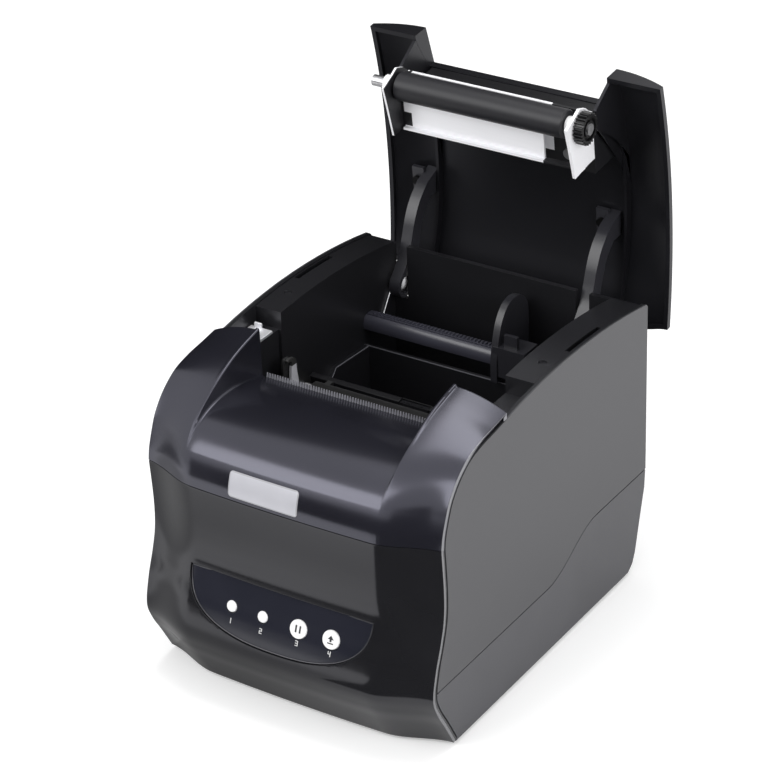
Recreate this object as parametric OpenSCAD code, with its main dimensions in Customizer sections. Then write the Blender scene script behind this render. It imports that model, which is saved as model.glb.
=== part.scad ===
// Desktop receipt printer with a lift-up lid, a drop-in roll bay and a thermal print mechanism.
// Origin: middle of the footprint on the plane that the feet stand on. X right, Y back, Z up.
// The lid is drawn closed and then turned up about its hinge to the open position.

/* [Case] */
// Width over the side panels
body_w = 154; // [148:1:170]
// Depth of the side panels
body_d = 192; // [188:1:215]
// Height of the side panels at their highest point
side_top = 146.9; // [145:0.1:156]
// Wall of the moulded panels
wall = 2.5; // [2:0.1:3]
// Wall of the glossy front mouldings
skin = 2.8; // [2.2:0.1:3.2]
// Groove between neighbouring mouldings
groove = 0.3; // [0.2:0.05:0.5]
// Height of the parting line across the front
split_z = 105; // [101:0.5:108]
// Height of the side parting line at its front end
side_split = 36; // [30:0.5:40]
// Rise of the side parting line towards the back
split_rise = 15.8; // [10:0.1:18]
// Thickness of the rubber feet
foot_h = 2; // [1.5:0.5:3]
// Radius of the rubber feet
foot_r = 7; // [5:0.5:9]

/* [Front] */
// Height of the chin, the most forward line of the front
chin_z = 34; // [30:0.5:38]
// Height of the waist, the hollow above the control panel
waist_z = 84; // [78:0.5:90]
// How far the waist lies behind the chin
waist_in = 10.8; // [8:0.1:13]
// How far the underside tucks back below the chin
tuck = 16; // [12:0.5:20]
// How far both front corners turn back
corner_turn = 7.6; // [5:0.1:9]
// Width over which a front corner turns back
corner_w = 30; // [24:1:34]
// Bulge of the front between its corners
front_bulge = 2.6; // [1:0.1:4]
// Depth of the front cover from the corner to the lid
cover_d = 65; // [60:0.5:70]
// Height of the lid's brim above the side panels
brim = 3; // [2.5:0.1:3.5]
// Rise of the crowned ears above the brim
crown_h = 6.3; // [5:0.1:8]
// Depth of the valley between the ears at the tear bar
valley = 23.6; // [19:0.1:27]
// Left edge of the paper mouth between the ears
mouth_x0 = -51.5; // [-54:0.5:-50.5]
// Right edge of the paper mouth between the ears
mouth_x1 = 49.6; // [49:0.1:52]
// Length of the paper mouth from the ears' tips to the lid's edge
mouth_d = 20.7; // [17:0.1:23]

/* [Control panel] */
// Half width of the half-moon control panel
panel_a = 48.5; // [46:0.5:52]
// Height of the half-moon control panel
panel_b = 27; // [24:0.5:29]
// Middle of the control panel across the width
panel_x = -1; // [-3:0.5:3]
// Height of the control panel's straight top edge
panel_top = 64.6; // [62:0.2:67]
// Depth of the control panel below the front
panel_sink = 1; // [0.6:0.1:1.4]
// Height of the row of lamps and buttons
key_z = 52.3; // [50:0.1:54]
// Radius of the two buttons
key_r = 4.4; // [3.8:0.1:5]
// Radius of the two lamp lenses
lamp_r = 2.8; // [2.2:0.1:3.2]
// Travel of a button
key_travel = 0.8; // [0.5:0.1:1.2]
// Width of the badge plate
badge_w = 36.6; // [30:0.2:42]
// Height of the badge plate
badge_h = 12; // [10:0.2:14]

/* [Lid] */
// Angle of the open lid from its closed position
open_angle = 84; // [78:0.5:88]
// Height of the hinge axis
hinge_z = 118; // [116:0.5:119]
// Distance of the hinge axis from the back of the side panels
hinge_in = 2.7; // [2.5:0.1:3]
// Radius of the hinge pins
hinge_r = 2.5; // [2:0.1:3]
// Thickness of a hinge arm
arm_t = 5.7; // [5:0.1:6]

/* [Print mechanism] */
// Radius of the rubber on the platen
platen_r = 6.8; // [6.4:0.1:7]
// Radius of the platen's steel shaft
shaft_r = 2.7; // [2.4:0.1:2.9]
// Length of the rubber on the platen
rubber_l = 89; // [84:0.5:89.5]
// Distance of the platen axis behind the lid's front end
platen_in = 14.3; // [14:0.1:15]
// Height of the platen axis with the lid closed
platen_z = 120; // [119.5:0.1:120.5]
// Module of the gear teeth
gear_m = 0.6; // [0.55:0.01:0.62]
// Teeth on the platen gear
platen_teeth = 24; // [22:2:26]
// Teeth on the drive gear below the platen
drive_teeth = 30; // [29:1:31]
// Teeth on the large wheel of the reduction gear
big_teeth = 36; // [34:1:38]
// Teeth on the small wheel of the reduction gear
small_teeth = 14; // [13:1:15]
// Teeth on the motor pinion
pinion_teeth = 12; // [12:1:14]
// Sheet metal thickness
sheet = 1.5; // [1.2:0.1:1.6]
// Pitch of the teeth on the tear bar
tear_pitch = 1.4; // [1.1:0.1:2]

/* [Roll bay] */
// Inner face of the bay's left wall
bay_x0 = -60.5; // [-61.5:0.5:-60]
// Inner face of the bay's right wall
bay_x1 = 59; // [58.5:0.5:60]
// Height of the bay floor
bay_z = 62; // [58:1:66]
// Height of the cross wall under the guide rail
cross_z = 96.5; // [90:0.5:98]
// Present place of the sliding paper guide's inner face
guide_x = 12.5; // [0:0.5:20]
// Running gap of the sliding guide on its rail
guide_gap = 0.1; // [0.05:0.01:0.2]

/* [Hidden] */
$fn = 48;
fit = 0.05;
lap = 0.4;
hw = body_w / 2;
front_y = -body_d / 2;
rear_y = body_d / 2;
in_x = hw - wall;
lid_y = front_y + cover_d;
mouth_y = lid_y + mouth_d;
hinge_y = rear_y - hinge_in;
platen_y = lid_y + platen_in;
peak_y = 24;
rear_drop = 6.9;
front_drop = 4.5;
rear_bow = 3;
chin_y = front_y + 0.6;
floor_z = foot_h + wall;

function flat(l) = [for (a = l) for (b = a) b];
function mix(a, b, t) = a + (b - a) * t;
function smooth(t) = t <= 0 ? 0 : t >= 1 ? 1 : t * t * (3 - 2 * t);
function knot(p, i, t) =
    let (a = p[max(i - 1, 0)], b = p[i], c = p[i + 1], d = p[min(i + 2, len(p) - 1)])
    0.5 * (2 * b + (c - a) * t + (2 * a - 5 * b + 4 * c - d) * t * t + (3 * b - a - 3 * c + d) * t * t * t);
function spline(p, n) =
    concat([for (i = [0:len(p) - 2]) for (k = [0:n - 1]) knot(p, i, k / n)], [p[len(p) - 1]]);
// A line moved sideways, to the right of its direction of travel
function aside(p, d) = [
    for (i = [0:len(p) - 1])
        let (u = p[min(i + 1, len(p) - 1)] - p[max(i - 1, 0)])
        p[i] + d * [u[1], -u[0]] / norm(u)
];
function back(p) = [for (i = [len(p) - 1:-1:0]) p[i]];

// How far the front stands forward of the side panels at a place across the width
function bow(x) = corner_turn * smooth((hw - abs(x)) / corner_w) + front_bulge * (1 - pow(x / hw, 2));
// Top line of the side panels, where the lid closes on them
function rim(y) = side_top - (y > peak_y
    ? rear_drop * pow((y - peak_y) / (rear_y - peak_y), 2)
    : front_drop * pow((peak_y - y) / (peak_y - lid_y), 2));
// Side parting line between the lower case and the housing
function side_line(y) = side_split + split_rise * smooth((y - 4) / 44);
function ear(x) = x < mouth_x0 ? (mouth_x0 - x) / (hw + mouth_x0)
    : x > mouth_x1 ? (x - mouth_x1) / (hw - mouth_x1) : 0;
function crown(x) = crown_h * (1 - pow(ear(x), 2));

// Side view of the front, from the underside up to the parting line and on to the lid
low_pts = [
    [chin_y + tuck, foot_h],
    [chin_y + tuck * 0.55, foot_h + (chin_z - foot_h) * 0.4],
    [chin_y + tuck * 0.2, foot_h + (chin_z - foot_h) * 0.7],
    [chin_y, chin_z],
    [chin_y + waist_in * 0.25, mix(chin_z, waist_z, 0.26)],
    [chin_y + waist_in * 0.66, mix(chin_z, waist_z, 0.5)],
    [chin_y + waist_in * 0.94, mix(chin_z, waist_z, 0.72)],
    [chin_y + waist_in, waist_z],
    [chin_y + waist_in - 1.3, split_z]
];
up_pts = [
    [chin_y + waist_in - 1.3, split_z],
    [chin_y + waist_in - 0.3, split_z + 6],
    [front_y + 14, split_z + 14],
    [front_y + 17.4, side_top - 20.9],
    [front_y + 24, side_top - 13.3],
    [front_y + 33.5, side_top - 7.1],
    [front_y + 44, side_top - 4.3],
    [front_y + 54, side_top - 3],
    [lid_y, rim(lid_y) + brim]
];
low_line = spline(low_pts, 3);
up_line = spline(up_pts, 3);
// Share of the bow, the crown and the valley at each point of the upper front
bow_at = [1, 1.05, 1.05, 0.88, 0.53, 0.33, 0.14, 0.05, 0];
crown_at = [0, 0.07, 0.07, 0.1, 0.16, 0.2, 0.58, 0.85, 1];
valley_at = [0, 0, 0, 0.056, 0.16, 0.333, 0.554, 0.767, 1];
function cover_line(x, low) = spline([
    for (j = [0:8]) [
        up_pts[j][0] - bow(x) * bow_at[j],
        up_pts[j][1] + crown(x) * crown_at[j] - (low ? valley * valley_at[j] : 0)
    ]
], 3);
function low_front(x) = [for (p = low_line) [p[0] - bow(x), p[1]]];
// Outer top of the lid at a place across and along it
function swell(y) = y < 35 ? 1.45 - 0.45 * pow((35 - y) / (35 - lid_y), 2)
    : 1.45 - 1.25 * pow((y - 35) / (rear_y - 35), 2.5);
function lid_top(x, y) = rim(min(y, rear_y)) + brim + crown(x) * swell(min(y, rear_y));

// Stations across the width: place, and whether it lies in the mouth
side_steps = [1, 0.93, 0.84, 0.72, 0.58, 0.42, 0.26, 0.12];
lip = 0.3;
rib_t = 1.5;
left_x = [for (k = side_steps) mix(mouth_x0 - lip * 2 - rib_t, -hw, k)];
right_x = [for (k = back(side_steps)) mix(mouth_x1 + lip * 2 + rib_t, hw, k)];
mid_x = [for (k = [0:7]) mix(mouth_x0, mouth_x1, k / 7)];

// A closed solid through a row of equal outlines, given as points in space. Each outline runs out
// along one line and back along another, so its ends are closed by a strip between the two.
module loft(rings) {
    n = len(rings[0]);
    m = len(rings);
    polyhedron(
        points = flat(rings),
        faces = concat(
            [for (j = [0:n / 2 - 2]) [n - 1 - j, n - 2 - j, j + 1, j]],
            [for (j = [0:n / 2 - 2]) [for (i = [j, j + 1, n - 2 - j, n - 1 - j]) (m - 1) * n + i]],
            [for (i = [0:m - 2]) for (j = [0:n - 1]) [i * n + j, i * n + (j + 1) % n,
                (i + 1) * n + (j + 1) % n]],
            [for (i = [0:m - 2]) for (j = [0:n - 1]) [i * n + j, (i + 1) * n + (j + 1) % n,
                (i + 1) * n + j]]
        )
    );
}
function ring(x, pts) = [for (p = pts) [x, p[0], p[1]]];
// A plate of a side-view outline between two places across the width
module plate(pts, x0, x1) {
    translate([x0, 0, 0])
        rotate([90, 0, 90])
            linear_extrude(x1 - x0)
                polygon(pts);
}
module rod(x0, x1, y, z, r) {
    translate([x0, y, z])
        rotate([0, 90, 0])
            cylinder(h = x1 - x0, r = r);
}
module block(a, b) {
    translate(a)
        cube(b - a);
}
module lid_open() {
    translate([0, hinge_y, hinge_z])
        rotate([-open_angle, 0, 0])
            translate([0, -hinge_y, -hinge_z])
                children();
}

// A sheet that follows the lower front between two depths below its surface
function capped(p) = [p[0], min(p[1], split_z - groove / 2)];
edge_x = hw - 0.25;
module low_sheet(d0, d1, z0, z1, x0, x1) {
    keep = [for (i = [0:len(low_line) - 1]) if (low_line[i][1] >= z0 && low_line[i][1] <= z1) i];
    loft([
        for (x = [for (k = [0:22]) mix(x0, x1, k / 22)])
            let (a = aside(low_front(x), d0), b = aside(low_front(x), d1))
            ring(x, concat([for (i = keep) capped(a[i])], back([for (i = keep) capped(b[i])])))
    ]);
}

// Lower case
boss_y = [front_y + 38, rear_y - 20];
boss_x = in_x - 4.7;
boss_r = 4.5;
screw_r = 1.5;
head_r = 2.9;
boss_top = floor_z + 4;
rear_pts = [
    [rear_y, side_line(rear_y) - groove / 2],
    [rear_y - 0.8, 42],
    [rear_y - 4.9, 27.4],
    [rear_y - 9.5, 10],
    [rear_y - 12, 5],
    [rear_y - 16.3, foot_h]
];
rear_in = aside(rear_pts, wall);
foot_x = hw - 19;
foot_y = [front_y + 30, rear_y - 30];
port_x0 = -12;
port_x1 = 56;
port_z0 = 8;
port_z1 = 30;
board_z = 10;
board_t = 1.6;
board_x0 = -52;
board_x1 = 62;
board_y0 = -30;
board_y1 = rear_y - 17;
post_x = [board_x0 + 5, board_x1 - 5];
post_y = [board_y0 + 5, board_y1 - 22];
post_r = 3;

module half_moon(grow) {
    n = 2.4;
    polygon([
        for (k = [0:30])
            let (a = 180 + 6 * k, c = cos(a), s = sin(a))
            [
                panel_x + (panel_a + grow) * sign(c) * pow(abs(c), 2 / n),
                panel_top + grow + (panel_b + 2 * grow) * sign(s) * pow(abs(s), 2 / n)
            ]
    ]);
}
module panel_prism(grow) {
    translate([0, front_y + 12, 0])
        rotate([90, 0, 0])
            linear_extrude(40)
                half_moon(grow);
}

module base_case() {
    top = [for (k = [0:40]) let (y = mix(rear_y, chin_y + skin / 2, k / 40)) [y,
        side_line(y) - groove / 2]];
    nose = [for (p = aside(low_line, skin * 0.6)) if (p[1] < side_split - 4 && p[1] > foot_h) p + [0, 1.3]];
    color("#3c3c42")
        difference() {
            union() {
                difference() {
                    low_sheet(0, skin, 0, split_z + 1, -edge_x, edge_x);
                    panel_prism(0.15);
                }
                for (s = [-1, 1])
                    plate(concat(top, [[chin_y + skin / 2, side_split - 1]], back(nose),
                        [[chin_y + tuck + 1.5, foot_h]], back(rear_pts)),
                        s < 0 ? -hw : in_x, s < 0 ? -in_x : hw);
                plate(concat(rear_pts, back(rear_in)), -in_x - lap, in_x + lap);
                translate([0, 0, foot_h])
                    linear_extrude(wall)
                        polygon(concat(
                            [for (k = [1:21]) let (x = edge_x * (k / 11 - 1)) [x,
                                chin_y + tuck + 1 - bow(x)]],
                            [[in_x + lap, chin_y + tuck + 1], [in_x + lap, rear_y - 15],
                            [-in_x - lap, rear_y - 15], [-in_x - lap, chin_y + tuck + 1]]
                        ));
                for (x = [-boss_x, boss_x], y = boss_y)
                    translate([x, y, floor_z - lap])
                        cylinder(h = boss_top - floor_z + lap, r = boss_r);
                for (x = post_x, y = post_y)
                    translate([x, y, floor_z - lap])
                        cylinder(h = board_z - floor_z + lap, r = post_r);
            }
            for (x = [-boss_x, boss_x], y = boss_y) {
                translate([x, y, foot_h - 1])
                    cylinder(h = boss_top, r = screw_r + fit);
                translate([x, y, foot_h - 1])
                    cylinder(h = 1 + 2.2, r = head_r + fit);
            }
            for (x = post_x, y = post_y)
                translate([x, y, floor_z + 0.5])
                    cylinder(h = board_z, r = 1);
            block([port_x0, rear_y - 30, port_z0], [port_x1, rear_y + 1, port_z1]);
            for (k = [0:8])
                block([-30 + 6 * k, 0, foot_h - 1], [-28 + 6 * k, 30, floor_z + 1]);
        }
}

// Upper housing: sides, decks, roll bay and back
deck_drop = 1;
deck_y = lid_y + 29;
shelf_z = 136;
notch_z = hinge_z - 7.5;
back_top = rim(rear_y) - 1.5;
arm_left = [mouth_x0 - 7.9, mouth_x0 - 2.2];
arm_right = [mouth_x1 - 8.6, mouth_x1 - 8.6 + arm_t];
post_right = arm_right[1] + 1.2;
cross_y = rear_y - 30.5;
bay_y0 = lid_y + 43.5;
module mid_housing() {
    front = [for (p = aside(concat(low_line, [for (i = [1:len(up_line) - 1]) up_line[i]]), skin + groove))
        if (p[1] > side_split + 1 && p[0] < lid_y - 2) p];
    crest = [for (k = [0:26]) let (y = mix(lid_y + 0.3, rear_y - 1.2, k / 26)) [y, rim(y) - 0.15]];
    low = [for (k = [0:40]) let (y = mix(rear_y, front[0][0], k / 40)) [y, side_line(y) + groove / 2]];
    deck = [for (k = [0:20]) let (y = mix(deck_y, rear_y - wall, k / 20)) [y, rim(y) - deck_drop]];
    cradle = [
        [cross_y + 0.5, bay_z], [cross_y + 0.5, cross_z], [cross_y - 3, cross_z],
            [cross_y - 28, cross_z + 1.5],
        [cross_y - 36.5, cross_z - 7.3], [bay_y0, bay_z + 12], [bay_y0, bay_z]
    ];
    color("#2c2c31")
        difference() {
            union() {
                for (s = [-1, 1])
                    plate(concat(front, crest, [[rear_y, rim(rear_y) - 1.2]],
                        low), s < 0 ? -hw : in_x, s < 0 ? -in_x : hw);
                block([-in_x - lap, rear_y - wall, side_line(rear_y) + groove / 2],
                    [in_x + lap, rear_y, back_top]);
                // decks with their front steps, shelves and the bay's side walls
                for (s = [-1, 1]) {
                    x0 = s < 0 ? -in_x - lap : bay_x1;
                    x1 = s < 0 ? bay_x0 : in_x + lap;
                    w0 = s < 0 ? bay_x0 - wall : bay_x1;
                    plate(concat(deck, back([for (p = deck) p - [0, 2]])), x0, x1);
                    block([x0, deck_y, shelf_z - 2], [x1, deck_y + 2, rim(deck_y) - deck_drop - 0.5]);
                    block([x0, lid_y + 1.5, shelf_z - 2], [x1, deck_y + 1, shelf_z]);
                    plate([[lid_y + 1.5, ch_z + 3], [bay_y0, ch_z + 3], [bay_y0, bay_z],
                        [rear_y - wall + lap, bay_z],
                        [rear_y - wall + lap, rim(rear_y) - deck_drop - 1],
                            [cross_y, rim(cross_y) - deck_drop - 1],
                        [peak_y, side_top - deck_drop - 1], [deck_y + 1, rim(deck_y) - deck_drop - 1],
                        [deck_y + 1, shelf_z - 1], [lid_y + 1.5, shelf_z - 1]], w0, w0 + wall);
                    c0 = s < 0 ? bay_x0 - lap : bay_x1 - wall;
                    plate(cradle, c0, c0 + wall + lap);
                }
                block([bay_x0 - lap, bay_y0, bay_z], [bay_x1 + lap, rear_y - wall + lap, bay_z + wall]);
                block([bay_x0 - lap, cross_y, bay_z], [bay_x1 + lap, cross_y + 2, cross_z]);
                // post that carries the right hinge arm
                block([post_right, hinge_y - 7, hinge_z - 9], [post_right + 3, rear_y - wall + lap,
                    hinge_z + 7]);
                // columns for the case screws, with a web to the side panel
                for (s = [-1, 1], y = boss_y) {
                    translate([s * boss_x, y, boss_top])
                        cylinder(h = 70 - boss_top, r = boss_r);
                    block([s < 0 ? -in_x - lap : boss_x, y - 1.5, side_line(y) + 4],
                        [s < 0 ? -boss_x : in_x + lap, y + 1.5, 70]);
                }
                // ledges that carry the print mechanism
                for (s = [-1, 1])
                    block([s < 0 ? -in_x - lap : ch_x1 + 0.6, s < 0 ? lid_y - 1 : lid_y + 25,
                        ch_z - 3 - sheet],
                        [s < 0 ? ch_x0 - 0.6 : in_x + lap, lid_y + 41, ch_z - sheet]);
            }
            rod(bay_x0 - wall - 1, bay_x0 + 1, hinge_y, hinge_z, hinge_r + fit);
            rod(post_right - 1, post_right + 4, hinge_y, hinge_z, hinge_r + fit);
            // clearance for the hinge arms through the back
            block([bay_x0, rear_y - wall - 1, notch_z], [arm_left[1] + 0.8, rear_y + 1, side_top]);
            block([arm_right[0] - 0.8, rear_y - wall - 1, notch_z],
                [arm_right[1] + 0.8, rear_y + 1, side_top]);
            for (s = [-1, 1], y = boss_y)
                translate([s * boss_x, y, boss_top - 1])
                    cylinder(h = 21, r = screw_r + fit);
            // long slots and dimples in the decks
            for (s = [-1, 1]) {
                x0 = s < 0 ? -hw + 3.1 : hw - 5.6;
                block([x0, deck_y + 31, rim(30) - 8], [x0 + 2.5, deck_y + 60, side_top + 1]);
                translate([s * (hw - 9), deck_y + 17, rim(15) - deck_drop - 1])
                    cylinder(h = 4, r = 2);
            }
            // relief beside the end of the platen shaft
            block([bay_x0 - 1.6, lid_y + 1, ch_z + 2], [bay_x0 + 0.5, deck_y - 0.5, shelf_z + 1]);
            // power switch window in the back
            block([rock_x - 10, rear_y - wall - 1, rock_z - 6.5], [rock_x + 10, rear_y + 1, rock_z + 6.5]);
            translate([-hw + 9.5, lid_y + 17.5, shelf_z - 3])
                cylinder(h = 5, r = screw_r);
            for (p = ch_screws)
                translate([p[0], p[1], ch_z - 6])
                    cylinder(h = 8, r = screw_r);
        }
}

// Glossy upper front with its two ears and the valley between them
end_t = 2;
function cover_ring(x, low_out, low_in) =
    let (
        out = cover_line(x, low_out),
        inn = aside(cover_line(x, low_in), skin),
        n = len(out) - 1,
        ze = cover_line(x, low_in)[n][1],
        zl = low_in ? ze - 7 : rim(lid_y) + 0.1
    )
    ring(x, concat(
        [[out[0][0], split_z + groove / 2]],
        [for (i = [1:n]) out[i]],
        [[lid_y, zl], [lid_y - end_t, zl], [lid_y - end_t, ze - skin]],
        back([for (i = [1:n - 1]) inn[i]]),
        [[inn[0][0], split_z + groove / 2]]
    ));
badge_x = -8;
badge_z = 112.8;
tab_x = [badge_x - badge_w / 2, badge_x + badge_w / 2];
module badge_box(g) {
    block([tab_x[0] - g, front_y - 20, badge_z - badge_h / 2 - g],
        [tab_x[1] + g, front_y + 10, badge_z + badge_h / 2 + g]);
}
module front_cover() {
    e0 = mouth_x0;
    e1 = mouth_x1;
    color("#16161b")
        difference() {
            loft(concat(
                [for (x = left_x) cover_ring(x, false, false)],
                [cover_ring(e0 - lip * 2 - rib_t, false, false), cover_ring(e0 - lip - rib_t, false, true),
                cover_ring(e0 - lip, false, true)],
                [for (x = mid_x) cover_ring(x, true, true)],
                [cover_ring(e1 + lip, false, true), cover_ring(e1 + lip + rib_t, false, true),
                cover_ring(e1 + lip * 2 + rib_t, false, false)],
                [for (x = right_x) cover_ring(x, false, false)]
            ));
            badge_box(0.1);
        }
}
module badge_plate() {
    color("#e9ecef")
        intersection() {
            loft([
                for (x = [for (k = [0:4]) mix(tab_x[0] - 2, tab_x[1] + 2, k / 4)])
                    let (o = cover_line(x, true))
                    ring(x, concat([for (i = [0:9]) aside(o, -0.35)[i]],
                        back([for (i = [0:9]) aside(o, 1.6)[i]])))
            ]);
            badge_box(0);
        }
}
tear_z = rim(lid_y) + brim + crown_h - valley;
module tear_bar() {
    n = floor((mouth_x1 - mouth_x0 - 3) / tear_pitch);
    x0 = mouth_x0 + 1.5;
    color("#1b1b20")
        translate([0, lid_y + 0.1 + 1.3, 0])
            rotate([90, 0, 0])
                linear_extrude(1.3)
                    polygon(concat(
                        [[x0 + n * tear_pitch, tear_z - 6], [x0, tear_z - 6], [x0, tear_z - 0.2]],
                        flat([for (i = [0:n - 1]) [[x0 + (i + 0.5) * tear_pitch, tear_z + 2.3],
                            [x0 + (i + 1) * tear_pitch, tear_z - 0.2]]])
                    ));
}

// Control panel. Its keys stand square to the leaning face at key_z.
key_line = [
    for (i = [0:len(low_line) - 1])
        if (low_line[i][1] > key_z - 9 && low_line[i][1] < key_z + 9) low_line[i]
];
key_lean = atan2(key_line[len(key_line) - 1][0] - key_line[0][0],
    key_line[len(key_line) - 1][1] - key_line[0][1]);
function low_y(z) = lookup(z, [for (p = low_line) [p[1], p[0]]]);
lamp_x = [-25.2, -8.4];
pause_x = 10.8;
feed_x = 27.8;
board_back = 8;
pin_x = [lamp_x[0] - 6, feed_x + 8.5];
// Places children with +Z square out of the control panel's face
module at_key(x) {
    translate([x, low_y(key_z) - bow(x), key_z])
        rotate([90 - key_lean, 0, 0])
            translate([0, 0, -panel_sink])
                children();
}
module control_panel() {
    color("#1d1d24")
        difference() {
            union() {
                intersection() {
                    low_sheet(panel_sink, panel_sink + 2, panel_top - panel_b - 6, panel_top + 6,
                        -hw + 12, hw - 12);
                    panel_prism(0);
                }
                for (x = pin_x)
                    at_key(0) {
                        translate([x, 0, -board_back])
                            cylinder(h = board_back - 1.5, r = 2.2);
                        translate([x, 0, -board_back - 1.6])
                            cylinder(h = 3, r = 1.25);
                    }
            }
            for (x = [pause_x, feed_x])
                at_key(x)
                    translate([0, 0, -6])
                        cylinder(h = 12, r = key_r + 0.1);
            for (x = lamp_x)
                at_key(x)
                    translate([0, 0, -6])
                        cylinder(h = 12, r = lamp_r + fit);
        }
}
module lamp_lenses() {
    color("#eef2f6")
        for (x = lamp_x)
            at_key(x) {
                translate([0, 0, -3.4])
                    cylinder(h = 3.9, r = lamp_r);
                translate([0, 0, -4.2])
                    cylinder(h = 0.9, r = lamp_r + 0.8);
            }
}
module key_cap(x) {
    at_key(x) {
        translate([0, 0, -4])
            cylinder(h = 4.7, r = key_r);
        translate([0, 0, -5])
            cylinder(h = 1.2, r = key_r + 0.9);
    }
}
module pause_button() {
    color("#f1f3f5")
        key_cap(pause_x);
}
module feed_button() {
    color("#f1f3f5")
        key_cap(feed_x);
}
module panel_board() {
    x0 = lamp_x[0] - 9;
    x1 = feed_x + 11.5;
    color("#1f6b3a")
        difference() {
            at_key(0)
                block([x0, -8, -board_back - 1.2], [x1, 8, -board_back]);
            for (x = pin_x)
                at_key(0)
                    translate([x, 0, -board_back - 3])
                        cylinder(h = 6, r = 1.3);
        }
}
module panel_switches() {
    color("#c9ccd1") {
        for (x = [pause_x, feed_x])
            at_key(0) {
                block([x - 2.5, -2.5, -board_back], [x + 2.5, 2.5, -board_back + 1.2]);
                translate([x, 0, -board_back + 1])
                    cylinder(h = key_travel - 0.3, r = 1.5);
            }
        for (x = lamp_x)
            at_key(0)
                translate([x, 0, -board_back])
                    cylinder(h = 3, r = 1.5);
    }
}

// Small parts of the case
module rubber_feet() {
    color("#222226")
        for (x = [-foot_x, foot_x], y = foot_y)
            translate([x, y, 0])
                cylinder(h = foot_h, r = foot_r);
}
module case_screws() {
    color("#9aa0a6")
        for (x = [-boss_x, boss_x], y = boss_y)
            difference() {
                union() {
                    translate([x, y, foot_h + 2.2 - 1.9])
                        cylinder(h = 1.9, r = head_r);
                    translate([x, y, foot_h + 2])
                        cylinder(h = 21, r = screw_r);
                }
                translate([x, y, foot_h])
                    cylinder(h = 1.4, r = 1.2, $fn = 6);
            }
}

// Electronics on the floor and the sockets in the back
module main_board() {
    color("#1f6b3a")
        difference() {
            block([board_x0, board_y0, board_z], [board_x1, board_y1, board_z + board_t]);
            for (x = post_x, y = post_y)
                translate([x, y, board_z - 1])
                    cylinder(h = 4, r = 1.3);
        }
}
module board_parts() {
    t = board_z + board_t;
    color("#26262b") {
        block([-14, 4, t], [6, 24, t + 1.6]);
        block([-38, 34, t], [-26, 42, t + 1.4]);
        block([20, -20, t], [44, -12, t + 6]);
        block([-40, -22, t], [-16, -16, t + 5.5]);
        for (k = [0:2])
            translate([26 + 12 * k, 12, t])
                cylinder(h = 12, r = 4);
        block([-44, 0, t], [-36, 12, t + 9]);
    }
}
module board_screws() {
    color("#9aa0a6")
        for (x = post_x, y = post_y) {
            translate([x, y, board_z + board_t])
                cylinder(h = 1.6, r = 2.4);
            translate([x, y, floor_z + 1])
                cylinder(h = board_z + board_t - floor_z, r = 0.95);
        }
}
usb_x = 8;
inlet_x = 36;
plate_y = board_y1 + 0.8;
module usb_socket() {
    z = board_z + board_t;
    color("#b9bec4")
        difference() {
            block([usb_x - 6, board_y1 - 14, z], [usb_x + 6, plate_y + 4, z + 10.9]);
            block([usb_x - 4.3, plate_y - 5, z + 1.3], [usb_x + 4.3, plate_y + 5, z + 9.5]);
        }
    color("#202024")
        block([usb_x - 2.8, plate_y - 5.5, z + 4], [usb_x + 2.8, plate_y + 2.5, z + 7]);
}
module power_inlet() {
    z = board_z + board_t;
    color("#202024")
        difference() {
            block([inlet_x - 7, board_y1 - 13, z], [inlet_x + 7, plate_y + 3, z + 12.5]);
            translate([inlet_x, plate_y + 4, z + 6.2])
                rotate([90, 0, 0])
                    cylinder(h = 10, r = 4.6);
        }
    color("#d6b25a")
        translate([inlet_x, plate_y + 2, z + 6.2])
            rotate([90, 0, 0])
                cylinder(h = 8.6, r = 1.1);
}
module port_plate() {
    z = board_z + board_t;
    color("#9ea3a9")
        difference() {
            block([port_x0 - 3, plate_y, port_z0 - 2], [port_x1 + 3, plate_y + 1.2, port_z1 + 1]);
            block([usb_x - 6.2, plate_y - 1, z - 2.2], [usb_x + 6.2, plate_y + 3, z + 11.1]);
            block([inlet_x - 7.2, plate_y - 1, z - 2.2], [inlet_x + 7.2, plate_y + 3, z + 12.7]);
        }
}
rock_x = -42;
rock_z = 72;
module switch_bezel() {
    color("#1a1a1e")
        difference() {
            union() {
                block([rock_x - 11.5, rear_y + 0.05, rock_z - 8],
                    [rock_x + 11.5, rear_y + 1.5, rock_z + 8]);
                block([rock_x - 9.9, rear_y - 13, rock_z - 6.4],
                    [rock_x + 9.9, rear_y + 0.5, rock_z + 6.4]);
            }
            block([rock_x - 8, rear_y - 9, rock_z - 5], [rock_x + 8, rear_y + 3, rock_z + 5]);
            rod(rock_x - 9.2, rock_x + 9.2, rear_y - 3, rock_z, 1.2 + fit);
        }
}
module power_rocker() {
    color("#101013")
        translate([0, rear_y - 3, rock_z])
            rotate([7, 0, 0]) {
                plate([[-1.5, -3.6], [3.3, -4.4], [4.3, -4.4], [3.6, 0], [4.3, 4.4], [3.3, 4.4],
                    [-1.5, 3.6]],
                    rock_x - 7.7, rock_x + 7.7);
                rod(rock_x - 9, rock_x + 9, 0, 0, 1.2);
            }
}

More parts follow.
